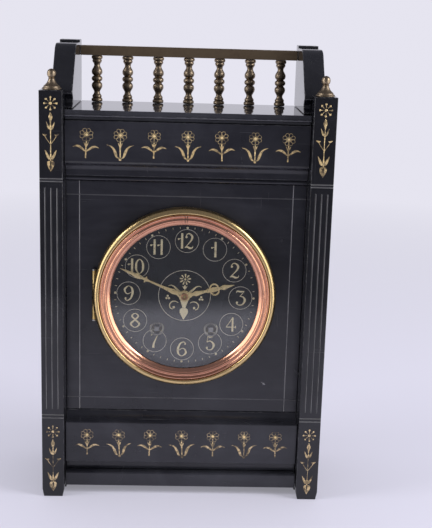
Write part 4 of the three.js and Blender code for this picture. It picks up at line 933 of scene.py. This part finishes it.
# %% Centre flower
def centre_flower():
    d = Drawing()
    for i in range(9):
        angle = math.pi / 2 + 2 * math.pi * i / 9
        reach = [(r * math.cos(angle), 12.6 + r * math.sin(angle), w)
                 for r, w in ((1.5, 0.4), (2.9, 1.0), (3.7, 1.35), (4.3, 0.7))]
        d.stroke(*reach, steps=3)
    d.dot(0, 12.6, 1.7)
    d.stroke((0, 8.2, 0.5), (0, 7.0, 1.4), (0, 5.6, 0.5), (0, 4.0, 0.6), steps=3)
    mirrored(d, (0.3, 5.2, 0.8), (1.0, 6.4, 0.8), (1.7, 7.4, 0.2))
    mirrored(d, (3.2, 2.2, 2.2), (5.6, 4.2, 1.9), (8.2, 6.8, 1.1), (10.6, 7.7, 0.6), (12.6, 7.0, 0.3))
    for side in (-1, 1):
        for x, z in ((12.6, -0.7), (11.6, -2.5), (13.5, -2.5)):
            d.dot(side * x, z, 1.7)
        d.dot(side * 7.7, -9.4, 1.9)
    mirrored(d, (4.4, -5.8, 0.4), (6.4, -4.7, 0.7), (9.0, -5.0, 0.9), (10.9, -7.2, 0.9), (10.3, -10.0, 0.8),
             (8.4, -10.9, 0.7))
    d.stroke((0, -3.0, 6.4), (0, -5.4, 5.0), (0, -8.6, 2.9), (0, -9.6, 2.6), steps=3)
    d.stroke((0, -9.8, 3.4), (0, -10.8, 5.8), (0, -13.2, 6.2), (0, -15.4, 4.2), (0, -18.8, 0.3), steps=3)
    laid(d, "dial_centre_flower", [(DIAL.x, DIAL.z)], DIAL_FACE, GILT_DIAL, thickness=0.10,
         turn=DIAL_TURN)


centre_flower()
print("centre flower at", round(DIAL.z, 1), "mm above the table")

# %% [markdown]
# ## Turned work
#
# Anything turned on a lathe is one profile spun round an axis. The profile is given as runs of
# (radius, distance) points, and each run goes on from the end of the last: one point is a straight
# cut, and several make a smooth curve. Between two runs stands the crisp corner that the turner's
# tool leaves.

# %% Spin a profile
def profile_of(start, *runs):
    line = [start]
    for run in runs:
        line += eased([line[-1], *run])[1:] if len(run) > 1 else run
    return line


def capped(bm):
    bmesh.ops.holes_fill(bm, edges=[e for e in bm.edges if e.is_boundary], sides=0)


def spun(profile, axis="Y", centre=(0.0, 0.0, 0.0), steps=64, closed=False, start=0.0, sweep=360.0):
    """Turns (radius, distance along the axis) points about the axis through the centre."""
    bm = bmesh.new()
    along_y = axis == "Y"
    verts = [bm.verts.new((r, t, 0) if along_y else (r, 0, t)) for r, t in profile]
    pairs = zip(verts, verts[1:] + verts[:1]) if closed else zip(verts, verts[1:])
    edges = [bm.edges.new(pair) for pair in pairs]
    if start:
        bmesh.ops.rotate(bm, verts=verts, matrix=Matrix.Rotation(math.radians(start), 3, axis))
    full = sweep >= 360
    bmesh.ops.spin(bm, geom=verts + edges, cent=(0, 0, 0), axis=(0, 1, 0) if along_y else (0, 0, 1),
                   angle=math.radians(sweep), steps=steps, use_merge=full)
    bmesh.ops.remove_doubles(bm, verts=bm.verts, dist=0.0005)
    if not full:
        capped(bm)
    bmesh.ops.recalc_face_normals(bm, faces=bm.faces)
    bmesh.ops.translate(bm, vec=centre, verts=bm.verts)
    return bm


print("points in one cut and one curve:", len(profile_of((0, 0), [(2, 0)], [(3, 1), (2, 2)])))

# %% [markdown]
# ## Gallery and finials
#
# The balusters are solid brass, gone dark in the hollows. Each has a beaded foot, a waist, a bulb, a
# ring in the middle, and the same again upside down. The rail that they carry is a plain bar, so its
# own shape stays and only its edges are eased.

# %% Gallery
BALUSTERS = 7


def baluster(height):
    lower = profile_of(
        (0, 0),
        [(3.7, 0)],
        [(4.25, 0.9), (4.1, 2.1), (3.3, 2.9)],
        [(3.65, 3.9), (3.3, 4.9), (2.6, 5.9)],
        [(2.3, 6.9), (2.4, 8.0), (3.1, 9.3), (3.95, 10.9), (4.15, 12.3), (3.8, 13.8), (2.55, 15.2)],
        [(3.3, 15.7), (3.95, 16.4), (4.2, height / 2)],
    )
    return lower + [(r, height - z) for r, z in reversed(lower[:-1])]


def stand_turned(node, profile, steps):
    """A turned piece that stands on the shelf in the place of its node."""
    foot = (middle(node).x, middle(node).y, low(node).z)
    bm = spun(profile, "Z", foot, steps)
    piece_of(bm, f"{node}_turned", TURNED_BRASS, "case", "old_brass", node)


for i in range(1, BALUSTERS + 1):
    stand_turned(f"baluster_{i}", baluster(2 * half_size("baluster_1").z), 36)

rail = soften(merged_copy("gallery_rail"), 0.3, 3, 30)
keep_flats(piece_of(rail, "gallery_rail_bar", OLD_BRASS, "case", "old_brass", "gallery_rail"))
print("balusters:", BALUSTERS, "each", round(2 * half_size("baluster_1").z, 1), "mm tall")

# %% [markdown]
# A finial is a wide foot, a cove that draws in to a neck, a ring and an egg-shaped knop.

# %% Finials
FINIAL = profile_of(
    (0, 0),
    [(6.7, 0)],
    [(6.85, 0.5), (6.5, 1.1), (5.9, 1.3)],
    [(5.75, 2.1), (5.2, 2.7)],
    [(4.6, 3.2), (3.5, 4.4), (2.7, 5.9), (2.15, 7.2)],
    [(2.45, 7.6), (2.0, 8.1)],
    [(2.85, 9.2), (3.15, 10.9), (2.7, 12.8), (1.5, 13.9), (0, 14.3)],
)
for side in ("left", "right"):
    stand_turned(f"finial_{side}", FINIAL, 40)
print("finials: 2, points in the profile:", len(FINIAL))

# %% [markdown]
# ## The bezel
#
# The bezel is a brass hoop that swings on a hinge at nine o'clock. The front lip runs all round,
# and the wall behind it stops short of the hinge. Distances along the arbor are measured back from
# the front of the hoop, and the radii from the opening of the ring inside it.

# %% Bezel hoop
BEZEL_OUTER = high("bezel_ring").x - DIAL.x
BEZEL_FRONT = (DIAL.x, low("bezel_ring").y, DIAL.z)
WALL = 1.2
SIGHT = half_size("sight_ring").x - 7.9
HINGE = Vector(BEZEL_FRONT) + Vector((0.8 - BEZEL_OUTER, 7.0, 0.0))
HINGE_GAP = 17.0  # half angle of the hoop's wall left out at the hinge, in degrees
KNUCKLE = 8.5  # half of its length
KNUCKLE_RADIUS = 1.6
PIN_BORE = 1.05


def knuckle():
    """The tube that turns on the hinge pin."""
    end = [(KNUCKLE_RADIUS, KNUCKLE - 0.2), (KNUCKLE_RADIUS - 0.2, KNUCKLE), (PIN_BORE, KNUCKLE)]
    return spun([(r, -z) for r, z in reversed(end)] + end, "Z", steps=28, closed=True)


def hinge_leaf():
    """A small block with rounded edges, which ties the knuckle to the hoop."""
    bm = bmesh.new()
    bmesh.ops.create_cube(bm, size=1.0)
    bmesh.ops.scale(bm, vec=(2.0, 3.3, 2 * KNUCKLE), verts=bm.verts)
    bmesh.ops.translate(bm, vec=(0.5, -2.75, 0.0), verts=bm.verts)
    rounded(bm, bm.edges[:], 0.15)
    return bm


def bezel_hoop():
    inner = BEZEL_OUTER - WALL
    lip = profile_of(
        (inner, 4.2),
        [(inner, 2.9)], [(SIGHT + 9.8, 2.5)], [(SIGHT + 9.8, 2.2)],
        [(SIGHT + 8.2, 2.2)], [(SIGHT + 8.2, 1.6)],
        [(SIGHT + 8.55, 0.5), (SIGHT + 9.4, 0), (SIGHT + 10.6, 0.2), (SIGHT + 11.7, 0.9),
         (SIGHT + 12.5, 1.9), (BEZEL_OUTER, 3.3)],
        [(BEZEL_OUTER, 4.2)],
    )
    wall = [(inner, 4.0), (BEZEL_OUTER, 4.0), (BEZEL_OUTER, 7.6), (BEZEL_OUTER - 0.4, 8.0), (inner, 8.0)]
    hoop = spun(lip, "Y", BEZEL_FRONT, 160, closed=True)
    back = spun(wall, "Y", BEZEL_FRONT, 144, closed=True, start=180 + HINGE_GAP, sweep=360 - 2 * HINGE_GAP)
    hinge = joined(knuckle(), hinge_leaf())
    bmesh.ops.translate(hinge, vec=HINGE, verts=hinge.verts)
    piece_of(joined(hoop, back, hinge), "bezel_hoop", BEZEL_BRASS, "bezel_door", "brass", "bezel_ring")


bezel_hoop()
print("bezel radius", round(BEZEL_OUTER, 2), "hinge at", round(HINGE.x, 1))

# %% [markdown]
# A moulded ring of copper-coloured lacquered brass sits inside the hoop and holds the glass. Its
# front goes from a sharp outer bead over a hollow and a swell to the slope beside the glass.

# %% Sight ring
def sight_front():
    """The moulded front of the sight ring, from its outer edge inwards."""
    runs = profile_of(
        (5.5, 4.3),
        [(7.9, 2.2)],
        [(7.9, 0.9)],
        [(7.3, 0.35), (6.4, 0.55), (6.0, 1.2)],
        [(5.5, 1.6), (4.7, 1.45), (4.0, 1.0), (3.2, 1.2), (2.7, 1.9)],
        [(2.2, 1.9)],
        [(1.6, 2.3), (0.8, 2.9), (0.1, 3.6)],
    )
    return [(SIGHT + r, t) for r, t in runs]


moulding = spun(sight_front() + [(SIGHT, 3.8), (SIGHT, 4.3)], "Y", BEZEL_FRONT, 160, closed=True)
piece_of(moulding, "sight_ring_moulding", COPPER, "bezel_door", "copper", "sight_ring", crease=40)
print("sight opening", round(SIGHT, 2))

# %% [markdown]
# Two traces of use make the clock this one and no other: the joint in the copper ring, which shows
# as two dark nicks at twelve o'clock, and a small chip in the stone below the bezel, at the right.

# %% Traces of use
SEAM_GAP = 0.04
SEAM_STARTS = (-90.95, -89.5)
SEAM_SWEEP = 0.45


def plain(name, tone, roughness):
    f = Finish(name, Roughness=roughness)
    f.feed(Base_Color=f.mix(f.noise(900, 3), tuple(c * 0.6 for c in tone), tone))
    return f.material


def seam():
    """Two slivers a hair's breadth in front of the ring, which follow its moulding."""
    line = [(r, t - SEAM_GAP) for r, t in sight_front() if SIGHT + 1.8 < r < SIGHT + 7.4]
    return joined(*[spun(line, "Y", BEZEL_FRONT, 2, start=start, sweep=SEAM_SWEEP)
                    for start in SEAM_STARTS])


piece_of(seam(), "sight_ring_seam", plain("seam", (0.05, 0.025, 0.02), 0.6), "bezel_door", "copper")

chip = Drawing()
chip.stroke((-0.9, 0.3, 0.3), (0, 0, 1.3), (1.3, -0.9, 0.3), steps=3)
chip.stroke((-1.9, 0.9, 0.2), (-1.4, 1.2, 0.4), (-0.8, 1.1, 0.2), steps=3)
chip.stroke((0.2, 0.9, 0.2), (0.1, 0.2, 0.7), (-0.3, -1.0, 0.2), steps=3)
CHIPPED_STONE = plain("chipped_stone", (0.42, 0.41, 0.42), 0.8)
laid(chip, "panel_chip", [(62.3, DIAL.z - 69.2)], PANEL_FACE, CHIPPED_STONE, "slate", thickness=0.05)
print("traces of use: 2")

# %% [markdown]
# ## Hands
#
# The hands are thin cast brass, chased on their faces, and they are drawn like the ornaments, but
# thicker. The hour hand is pierced by two loops beyond its middle. The minute hand has a long leaf,
# a small cross bar and a slim waist.

# %% Hands
HOUR_ANGLE = 75.9
MINUTE_ANGLE = -66.7


def hour_hand():
    d = Drawing()
    d.stroke((0, 2.0, 5.6), (0, 4.6, 4.2), (0, 6.4, 2.4), (0, 9.0, 4.0), (0, 12.4, 2.8), (0, 16.4, 1.9),
             (0, 18.0, 3.6), (0, 19.6, 2.0))
    for side in (-1, 1):
        loop = [(0.5, 19.6), (2.2, 20.2), (3.9, 21.8), (4.0, 24.0), (2.7, 25.7), (0.9, 25.9), (1.1, 24.2),
                (1.4, 22.0)]
        d.stroke(*[(side * x, z, 1.35) for x, z in loop], closed=True, steps=4)
    d.stroke((0, 19.6, 1.8), (0, 24.6, 1.5), (0, 26.4, 2.6), (0, 27.8, 2.0), (0, 30.4, 3.8), (0, 33.6, 2.2),
             (0, 38.4, 0.35))
    return d


def minute_hand():
    d = Drawing()
    d.stroke((0, 2.0, 5.0), (0, 4.6, 3.8), (0, 6.4, 2.8), (0, 9.2, 3.9), (0, 13.0, 2.9), (0, 19.5, 1.8),
             (0, 28.6, 1.4), (0, 30.4, 2.2), (0, 32.0, 2.6), (0, 34.0, 1.7), (0, 36.0, 2.8), (0, 38.7, 3.9),
             (0, 42.0, 2.6), (0, 47.0, 1.7), (0, 52.6, 0.4))
    d.stroke((-2.4, 32.0, 0.7), (-1.3, 32.0, 1.6), (0, 32.0, 1.2), (1.3, 32.0, 1.6), (2.4, 32.0, 0.7),
             steps=3)
    return d


print("hands at", HOUR_ANGLE, "and", MINUTE_ANGLE, "degrees from twelve")

# %% [markdown]
# A hand's blade and its turned hub are one casting. The drawing is pressed to half the hand's
# thickness on each side of its plane, turned to its hour and joined to the hub. A small collet
# holds the hands on their arbor.

# %% Cast the hands
def hub(radius, bore, front, rear):
    ring = profile_of(
        (bore, rear),
        [(radius, rear)],
        [(radius, front + 0.2)],
        [(radius - 0.5, front), (radius - 1.1, front + 0.12), (bore + 0.4, front)],
        [(bore, front + 0.1)],
    )
    return spun(ring, "Y", AXIS, 40, closed=True)


def cast_hand(node, drawing, angle, radius, bore, body):
    blade = drawing.mesh(half_size(node).y)
    turn = Matrix.Rotation(math.radians(angle), 4, "Y")
    place = Matrix.Translation((DIAL.x, middle(node).y, DIAL.z))
    bmesh.ops.transform(blade, matrix=place @ turn, verts=blade.verts)
    whole = joined(blade, hub(radius, bore, low(node).y, high(node).y))
    piece_of(whole, node + "_cast", HAND_BRASS, body, "gilt", node, crease=60)


cast_hand("hour_hand", hour_hand(), HOUR_ANGLE, 4.4, 2.2, "hour_works")
cast_hand("minute_hand", minute_hand(), MINUTE_ANGLE, 3.9, 1.25, "minute_works")

front, rear = low("hand_collet").y, high("hand_collet").y
collet = profile_of(
    (1.25, rear),
    [(2.6, rear)],
    [(2.65, front + 0.2), (2.2, front), (1.7, front + 0.08)],
    [(1.25, front + 0.2)],
)
piece_of(spun(collet, "Y", AXIS, 32, closed=True), "hand_collet_turned", COLLET_BRASS,
         "minute_works", "gilt", "hand_collet")
print("the minute hand is", round(2 * half_size("minute_hand").y, 2), "mm thick")

# %% [markdown]
# ## Winding holes
#
# Each winding hole is lined by a small turned collet with a rounded lip, and the dull steel square
# of the winding arbor stands deep inside it.

# %% Collets
for side in ("left", "right"):
    node = f"winding_collet_{side}"
    outer = half_size(node).x
    front, rear = low(node).y, high(node).y
    ring = profile_of(
        (outer - 1.8, rear),
        [(outer - 0.95, rear)],
        [(outer - 0.95, rear - 1.9)],
        [(outer, front + 0.45)],
        [(outer - 0.4, front + 0.1), (outer - 1.2, front), (outer - 1.8, front + 0.5)],
    )
    bm = spun(ring, "Y", (middle(node).x, 0, middle(node).z), 40, closed=True)
    piece_of(bm, f"{node}_turned", PALE_BRASS, "case", "old_brass", node)
print("winding holes", round(2 * (outer - 1.8), 1), "mm across")

# %% [markdown]
# ## The back
#
# Behind the case a brass ring is let into the slate, and a round brass door hangs in it. Through
# that opening one sees the bell and the pendulum, so the bell, the bob and the nut are turned with
# care too. The bob is a lens whose front mirrors its back.

# %% Bell, bob and rating nut
BELL_WALL = 1.4
BELL_LIP = 0.7
NUT_TEETH = 28
NUT_BORE = 1.2
NUT_BEVEL = 0.5
KNURL_SHARE = 0.94  # of the rim's radius


def bell():
    """An outer and an inner dome, joined at the mouth."""
    rim, height = half_size("bell").x, 2 * half_size("bell").y
    dome, hollow = rim - BELL_LIP, rim - BELL_LIP - BELL_WALL
    arc = [math.radians(a) for a in (4, 14, 26, 38, 50, 62, 74, 86)]
    outer = [(dome * math.cos(a), height * math.sin(a)) for a in arc]
    inner = [(hollow * math.cos(a), (height - BELL_WALL) * math.sin(a)) for a in reversed(arc)]
    wall = eased([(rim, 0), (rim - 0.1, 0.6), *outer], 3) + eased([*inner, (hollow, 0)], 3)
    mouth = (middle("bell").x, low("bell").y, middle("bell").z)
    piece_of(spun(wall, "Y", mouth, 96, closed=True), "bell_turned", BELL, "case", "bell_metal", "bell")


def bob():
    radius, half = half_size("pendulum_bob").x, half_size("pendulum_bob").y
    rear = profile_of(
        (0, half),
        [(3.2, half - 0.1)],
        [(3.5, half - 0.5), (6, half - 0.6), (9.5, half - 0.9), (14, half - 1.7), (radius - 1.6, half - 2.7)],
        [(radius, half - 3.6)],
    )
    lens = rear + [(r, -t) for r, t in reversed(rear)]
    piece_of(spun(lens, "Y", middle("pendulum_bob"), 72), "pendulum_bob_turned", PLATE_BRASS, "pendulum",
             "brass", "pendulum_bob")


def nut():
    """Every second row of its rim is pressed in, which knurls it."""
    radius, height = half_size("rating_nut").x, 2 * half_size("rating_nut").z
    side = [(NUT_BORE, 0), (radius - NUT_BEVEL, 0), (radius, NUT_BEVEL), (radius, height - NUT_BEVEL),
            (radius - NUT_BEVEL, height), (NUT_BORE, height)]
    bm = spun(side, "Z", steps=2 * NUT_TEETH, closed=True)
    for vert in bm.verts:
        pressed = round(math.atan2(vert.co.y, vert.co.x) / math.pi * NUT_TEETH) % 2
        if pressed and vert.co.xy.length > radius - 0.2:
            vert.co.xy *= KNURL_SHARE
    c = middle("rating_nut")
    bmesh.ops.translate(bm, vec=(c.x, c.y, low("rating_nut").z), verts=bm.verts)
    piece_of(bm, "rating_nut_knurled", PLATE_BRASS, "rating_nut_body", "brass", "rating_nut")


bell()
bob()
nut()
for node in ("bell", "pendulum_bob", "rating_nut"):
    print(node, "is", round(2 * half_size(node).x, 1), "mm across")

# %% [markdown]
# Blued screws hold the back plate to its pillars. A head is turned like the rest and then sawn
# through: two half heads stand apart by the width of the slot, on a thin disc that is its floor.

# %% Plate screws
PLATE_CENTRE = middle("back_plate")
PILLAR_RING = 40.8
PILLAR_ANGLES = (-90, 20, 160, 60.6)
SLOT_TURN = 1.7  # no two slots stand alike: each is turned by this share of its pillar's angle
SCREW_RADIUS, SCREW_HEIGHT, SLOT_WIDTH = 2.3, 1.3, 0.55


def sliced(bm, point, normal):
    """Keeps what lies on the normal's side of a plane through the point."""
    everything = bm.verts[:] + bm.edges[:] + bm.faces[:]
    bmesh.ops.bisect_plane(bm, geom=everything, dist=0.001, plane_co=point, plane_no=normal,
                           clear_inner=True)


def slotted_screw(radius, height):
    shape = profile_of((0, height), [(radius * 0.6, height - 0.08), (radius - 0.2, height - 0.35)],
                       [(radius, height - 0.6)], [(radius, 0)], [(0, 0)])
    parts = [spun([(0, 0.4), (radius - 0.15, 0.4), (radius - 0.15, 0), (0, 0)], steps=28)]
    for side in (-1, 1):
        half = spun(shape, steps=28)
        sliced(half, (side * SLOT_WIDTH / 2, 0, 0), (side, 0, 0))
        capped(half)
        parts.append(half)
    return joined(*parts)


heads = []
for angle in PILLAR_ANGLES:
    turn = math.radians(angle)
    head = slotted_screw(SCREW_RADIUS, SCREW_HEIGHT)
    place = Matrix.Translation((PILLAR_RING * math.cos(turn), high("back_plate").y,
                                PLATE_CENTRE.z + PILLAR_RING * math.sin(turn)))
    bmesh.ops.transform(head, matrix=place @ Matrix.Rotation(turn * SLOT_TURN, 4, "Y"), verts=head.verts)
    heads.append(head)
piece_of(joined(*heads), "plate_screws", BLUED, "case", "blued_steel")
print("plate screws:", len(heads))

# %% [markdown]
# The ring and its door are sheet brass: their own shape is right, and only their corners are eased.

# %% Rear ring and door
for node, body in (("rear_ring", "case"), ("rear_door", "rear_door_body")):
    sheet = soften(merged_copy(node), 0.18, 2, 50)
    keep_flats(piece_of(sheet, f"{node}_sheet", PLATE_BRASS, body, "brass", node))
print("ring and door:", round(2 * half_size("rear_ring").x), "mm across")

# %% [markdown]
# ## Finishes for the pieces whose shape is already right
#
# The wheels, plates and arbors inside the clock keep their CAD shape. Each takes the finish of its
# slot in the record.

# %% Carried-over nodes
BY_SLOT = {"slate": SLATE, "old_brass": OLD_BRASS, "brass": PLATE_BRASS, "copper": COPPER, "gilt": HAND_BRASS,
           "steel": STEEL, "blued_steel": BLUED, "bell_metal": BELL, "dial_black": DIAL_PAINT, "glass": GLASS}
SLOT_OF = {part["node"]: part["material_slot"] for part in frame["record"]["subparts"]}
for node, obj in frame["nodes"].items():
    obj.data.materials.clear()
    obj.data.materials.append(DARK_STEEL if "winding_arbor" in node else BY_SLOT[SLOT_OF[node]])
print("carried-over nodes:", sum(not o.hide_render for o in frame["nodes"].values()))

# %% [markdown]
# ## Floor, backdrop and light
#
# The clock stands on pale paper, with a soft box on each side and one above. The polished stone is
# a mirror, so what it faces matters as much as the lamps: in front and overhead lies a dark room,
# which only reflections can see, and at each side stands a small white card, which gives the rings
# and the balusters their long highlights. The camera sees pale paper all round. So each of these
# surfaces asks what kind of ray has met it, and answers looking and lighting differently.

# %% Stage materials
TABLE_EDGE = -0.55
SOFT_EDGE = 0.08
PALE = (0.79, 0.78, 0.87)
PAPER = (0.56, 0.545, 0.655)
ROOM_SHADE = (0.15, 0.15, 0.18)
LOOKING = ("Is Camera Ray", "Is Glossy Ray", "Is Transmission Ray")


def seen_by(network, *rays):
    """1 for these kinds of ray, and 0 for any other."""
    seen, *others = (network.node("ShaderNodeLightPath", output=ray) for ray in rays)
    for other in others:
        seen = seen.or_more(other)
    return seen


def paper():
    """Lit by the lamps near the clock, and an even glow farther away."""
    f = Finish("paper")
    lit = f.node("ShaderNodeBsdfDiffuse", {}, {"Color": (*PAPER, 1.0)})
    far = f.node("ShaderNodeVectorMath", {"operation": "LENGTH"}, {0: f.place}, "Value").above(0.25, 1.1)
    return f.show(f.blend(seen_by(f, *LOOKING) * (far * 0.7 + 0.3), lit, f.glow(PALE))).material


def dark_room():
    """Dark away from the table, with a soft change from the paper at its edge."""
    f = Finish("dark_room")
    gone = f.node("ShaderNodeBsdfTransparent")
    away = 0.0 - f.node("ShaderNodeSeparateXYZ", {}, {0: f.place}, "Y")
    depth = away.above(-TABLE_EDGE - SOFT_EDGE / 2, SOFT_EDGE)
    height = f.node("ShaderNodeSeparateXYZ", {}, {0: f.place}, "Z").above(0.02, 0.3)
    return f.show(f.blend(depth.or_more(height), gone, f.glow(ROOM_SHADE))).material


FLOOR_PAPER = paper()
ROOM_DARK = dark_room()
print("the paper ends", -TABLE_EDGE, "m in front of the clock")

# %% [markdown]
# The floor is one wide disc. The dark room is the front and the top of a great sphere round it,
# cut off behind the clock and closed by a sheet in front of the table. Only mirrors may see it.

# %% Floor and dark room
ROOM = 3.0
FLOOR_GAP = 0.001
BEHIND = 0.35


def staged(name, bm, material):
    obj = placed(name, mesh_of(bm, name, material))
    return obj


def only_mirrored(obj):
    for ray in ("camera", "diffuse", "shadow", "transmission"):
        setattr(obj, f"visible_{ray}", False)


floor = bmesh.new()
bmesh.ops.create_circle(floor, cap_ends=True, segments=96, radius=8 * ROOM)
staged("floor", floor, FLOOR_PAPER)

room = bmesh.new()
bmesh.ops.create_uvsphere(room, u_segments=48, v_segments=24, radius=ROOM)
sliced(room, (0, BEHIND, 0), (0, -1, 1.6))
sliced(room, (0, 0, FLOOR_GAP), (0, 0, 1))
edge = TABLE_EDGE + SOFT_EDGE
corners = ((-ROOM, edge), (ROOM, edge), (ROOM, -ROOM), (-ROOM, -ROOM))
room.faces.new([room.verts.new((x, y, FLOOR_GAP)) for x, y in corners])
only_mirrored(staged("dark_room", room, ROOM_DARK))
print("the room is", ROOM, "m in radius")

# %% [markdown]
# The world is a pale backdrop for the camera and for mirrors, and a dimmer fill light for
# everything else.

# %% World
world = bpy.data.worlds.new("world")
scene.world = world
sky = Network(world)
fill = sky.node("ShaderNodeBackground", {}, {"Color": (0.80, 0.82, 0.88, 1.0), "Strength": 0.42})
backdrop = sky.node("ShaderNodeBackground", {}, {"Color": (*PALE, 1.0), "Strength": 1.0})
sky.show(sky.blend(seen_by(sky, "Is Camera Ray", "Is Glossy Ray"), fill, backdrop))
print("nodes in the world:", len(sky.nodes))

# %% [markdown]
# A photographer puts white card beside a polished thing, to lay a long clean highlight along its
# curves. Here the cards are seen by mirrors alone, so they light nothing.

# %% White cards
CARD_WHITE = (1.0, 0.98, 0.96)
CARD_STRENGTH = 2.1
CARD_REACH = 0.46
CARD_NEAR, CARD_FAR = -0.58, -0.04
CARD_FOOT, CARD_TOP = 0.002, 0.42


def card(name, x):
    f = Finish(name)
    f.show(f.glow(CARD_WHITE, CARD_STRENGTH))
    corners = ((CARD_NEAR, CARD_FOOT), (CARD_FAR, CARD_FOOT), (CARD_FAR, CARD_TOP), (CARD_NEAR, CARD_TOP))
    sheet = bmesh.new()
    sheet.faces.new([sheet.verts.new((x, y, z)) for y, z in corners])
    only_mirrored(staged(name, sheet, f.material))


card("card_left", -CARD_REACH)
card("card_right", CARD_REACH)
print("cards at", CARD_REACH, "m to each side")

# %% [markdown]
# Three large soft boxes light the clock, one from each side and one from above. They all point at
# the middle of the case. The upper one is kept out of the mirrors, where it would hide the dark room.

# %% Lamps
CASE_MIDDLE = Vector((0, 0, 0.17))


def soft_box(name, place, size, power):
    lamp = bpy.data.lights.new(name, "AREA")
    lamp.shape = "RECTANGLE"
    lamp.size, lamp.size_y = size
    lamp.energy = power
    obj = placed(name, lamp)
    aim = (CASE_MIDDLE - Vector(place)).to_track_quat("-Z", "Y").to_matrix().to_4x4()
    obj.matrix_world = Matrix.Translation(place) @ aim
    return obj


soft_box("soft_box_left", (-1.30, -0.38, 0.62), (0.5, 1.2), 13)
soft_box("soft_box_right", (1.30, -0.48, 0.66), (0.6, 1.2), 19)
soft_box("soft_box_top", (0.1, 0.1, 1.7), (1.4, 1.2), 16).visible_glossy = False
scene.view_settings.view_transform = "Standard"

# %% [markdown]
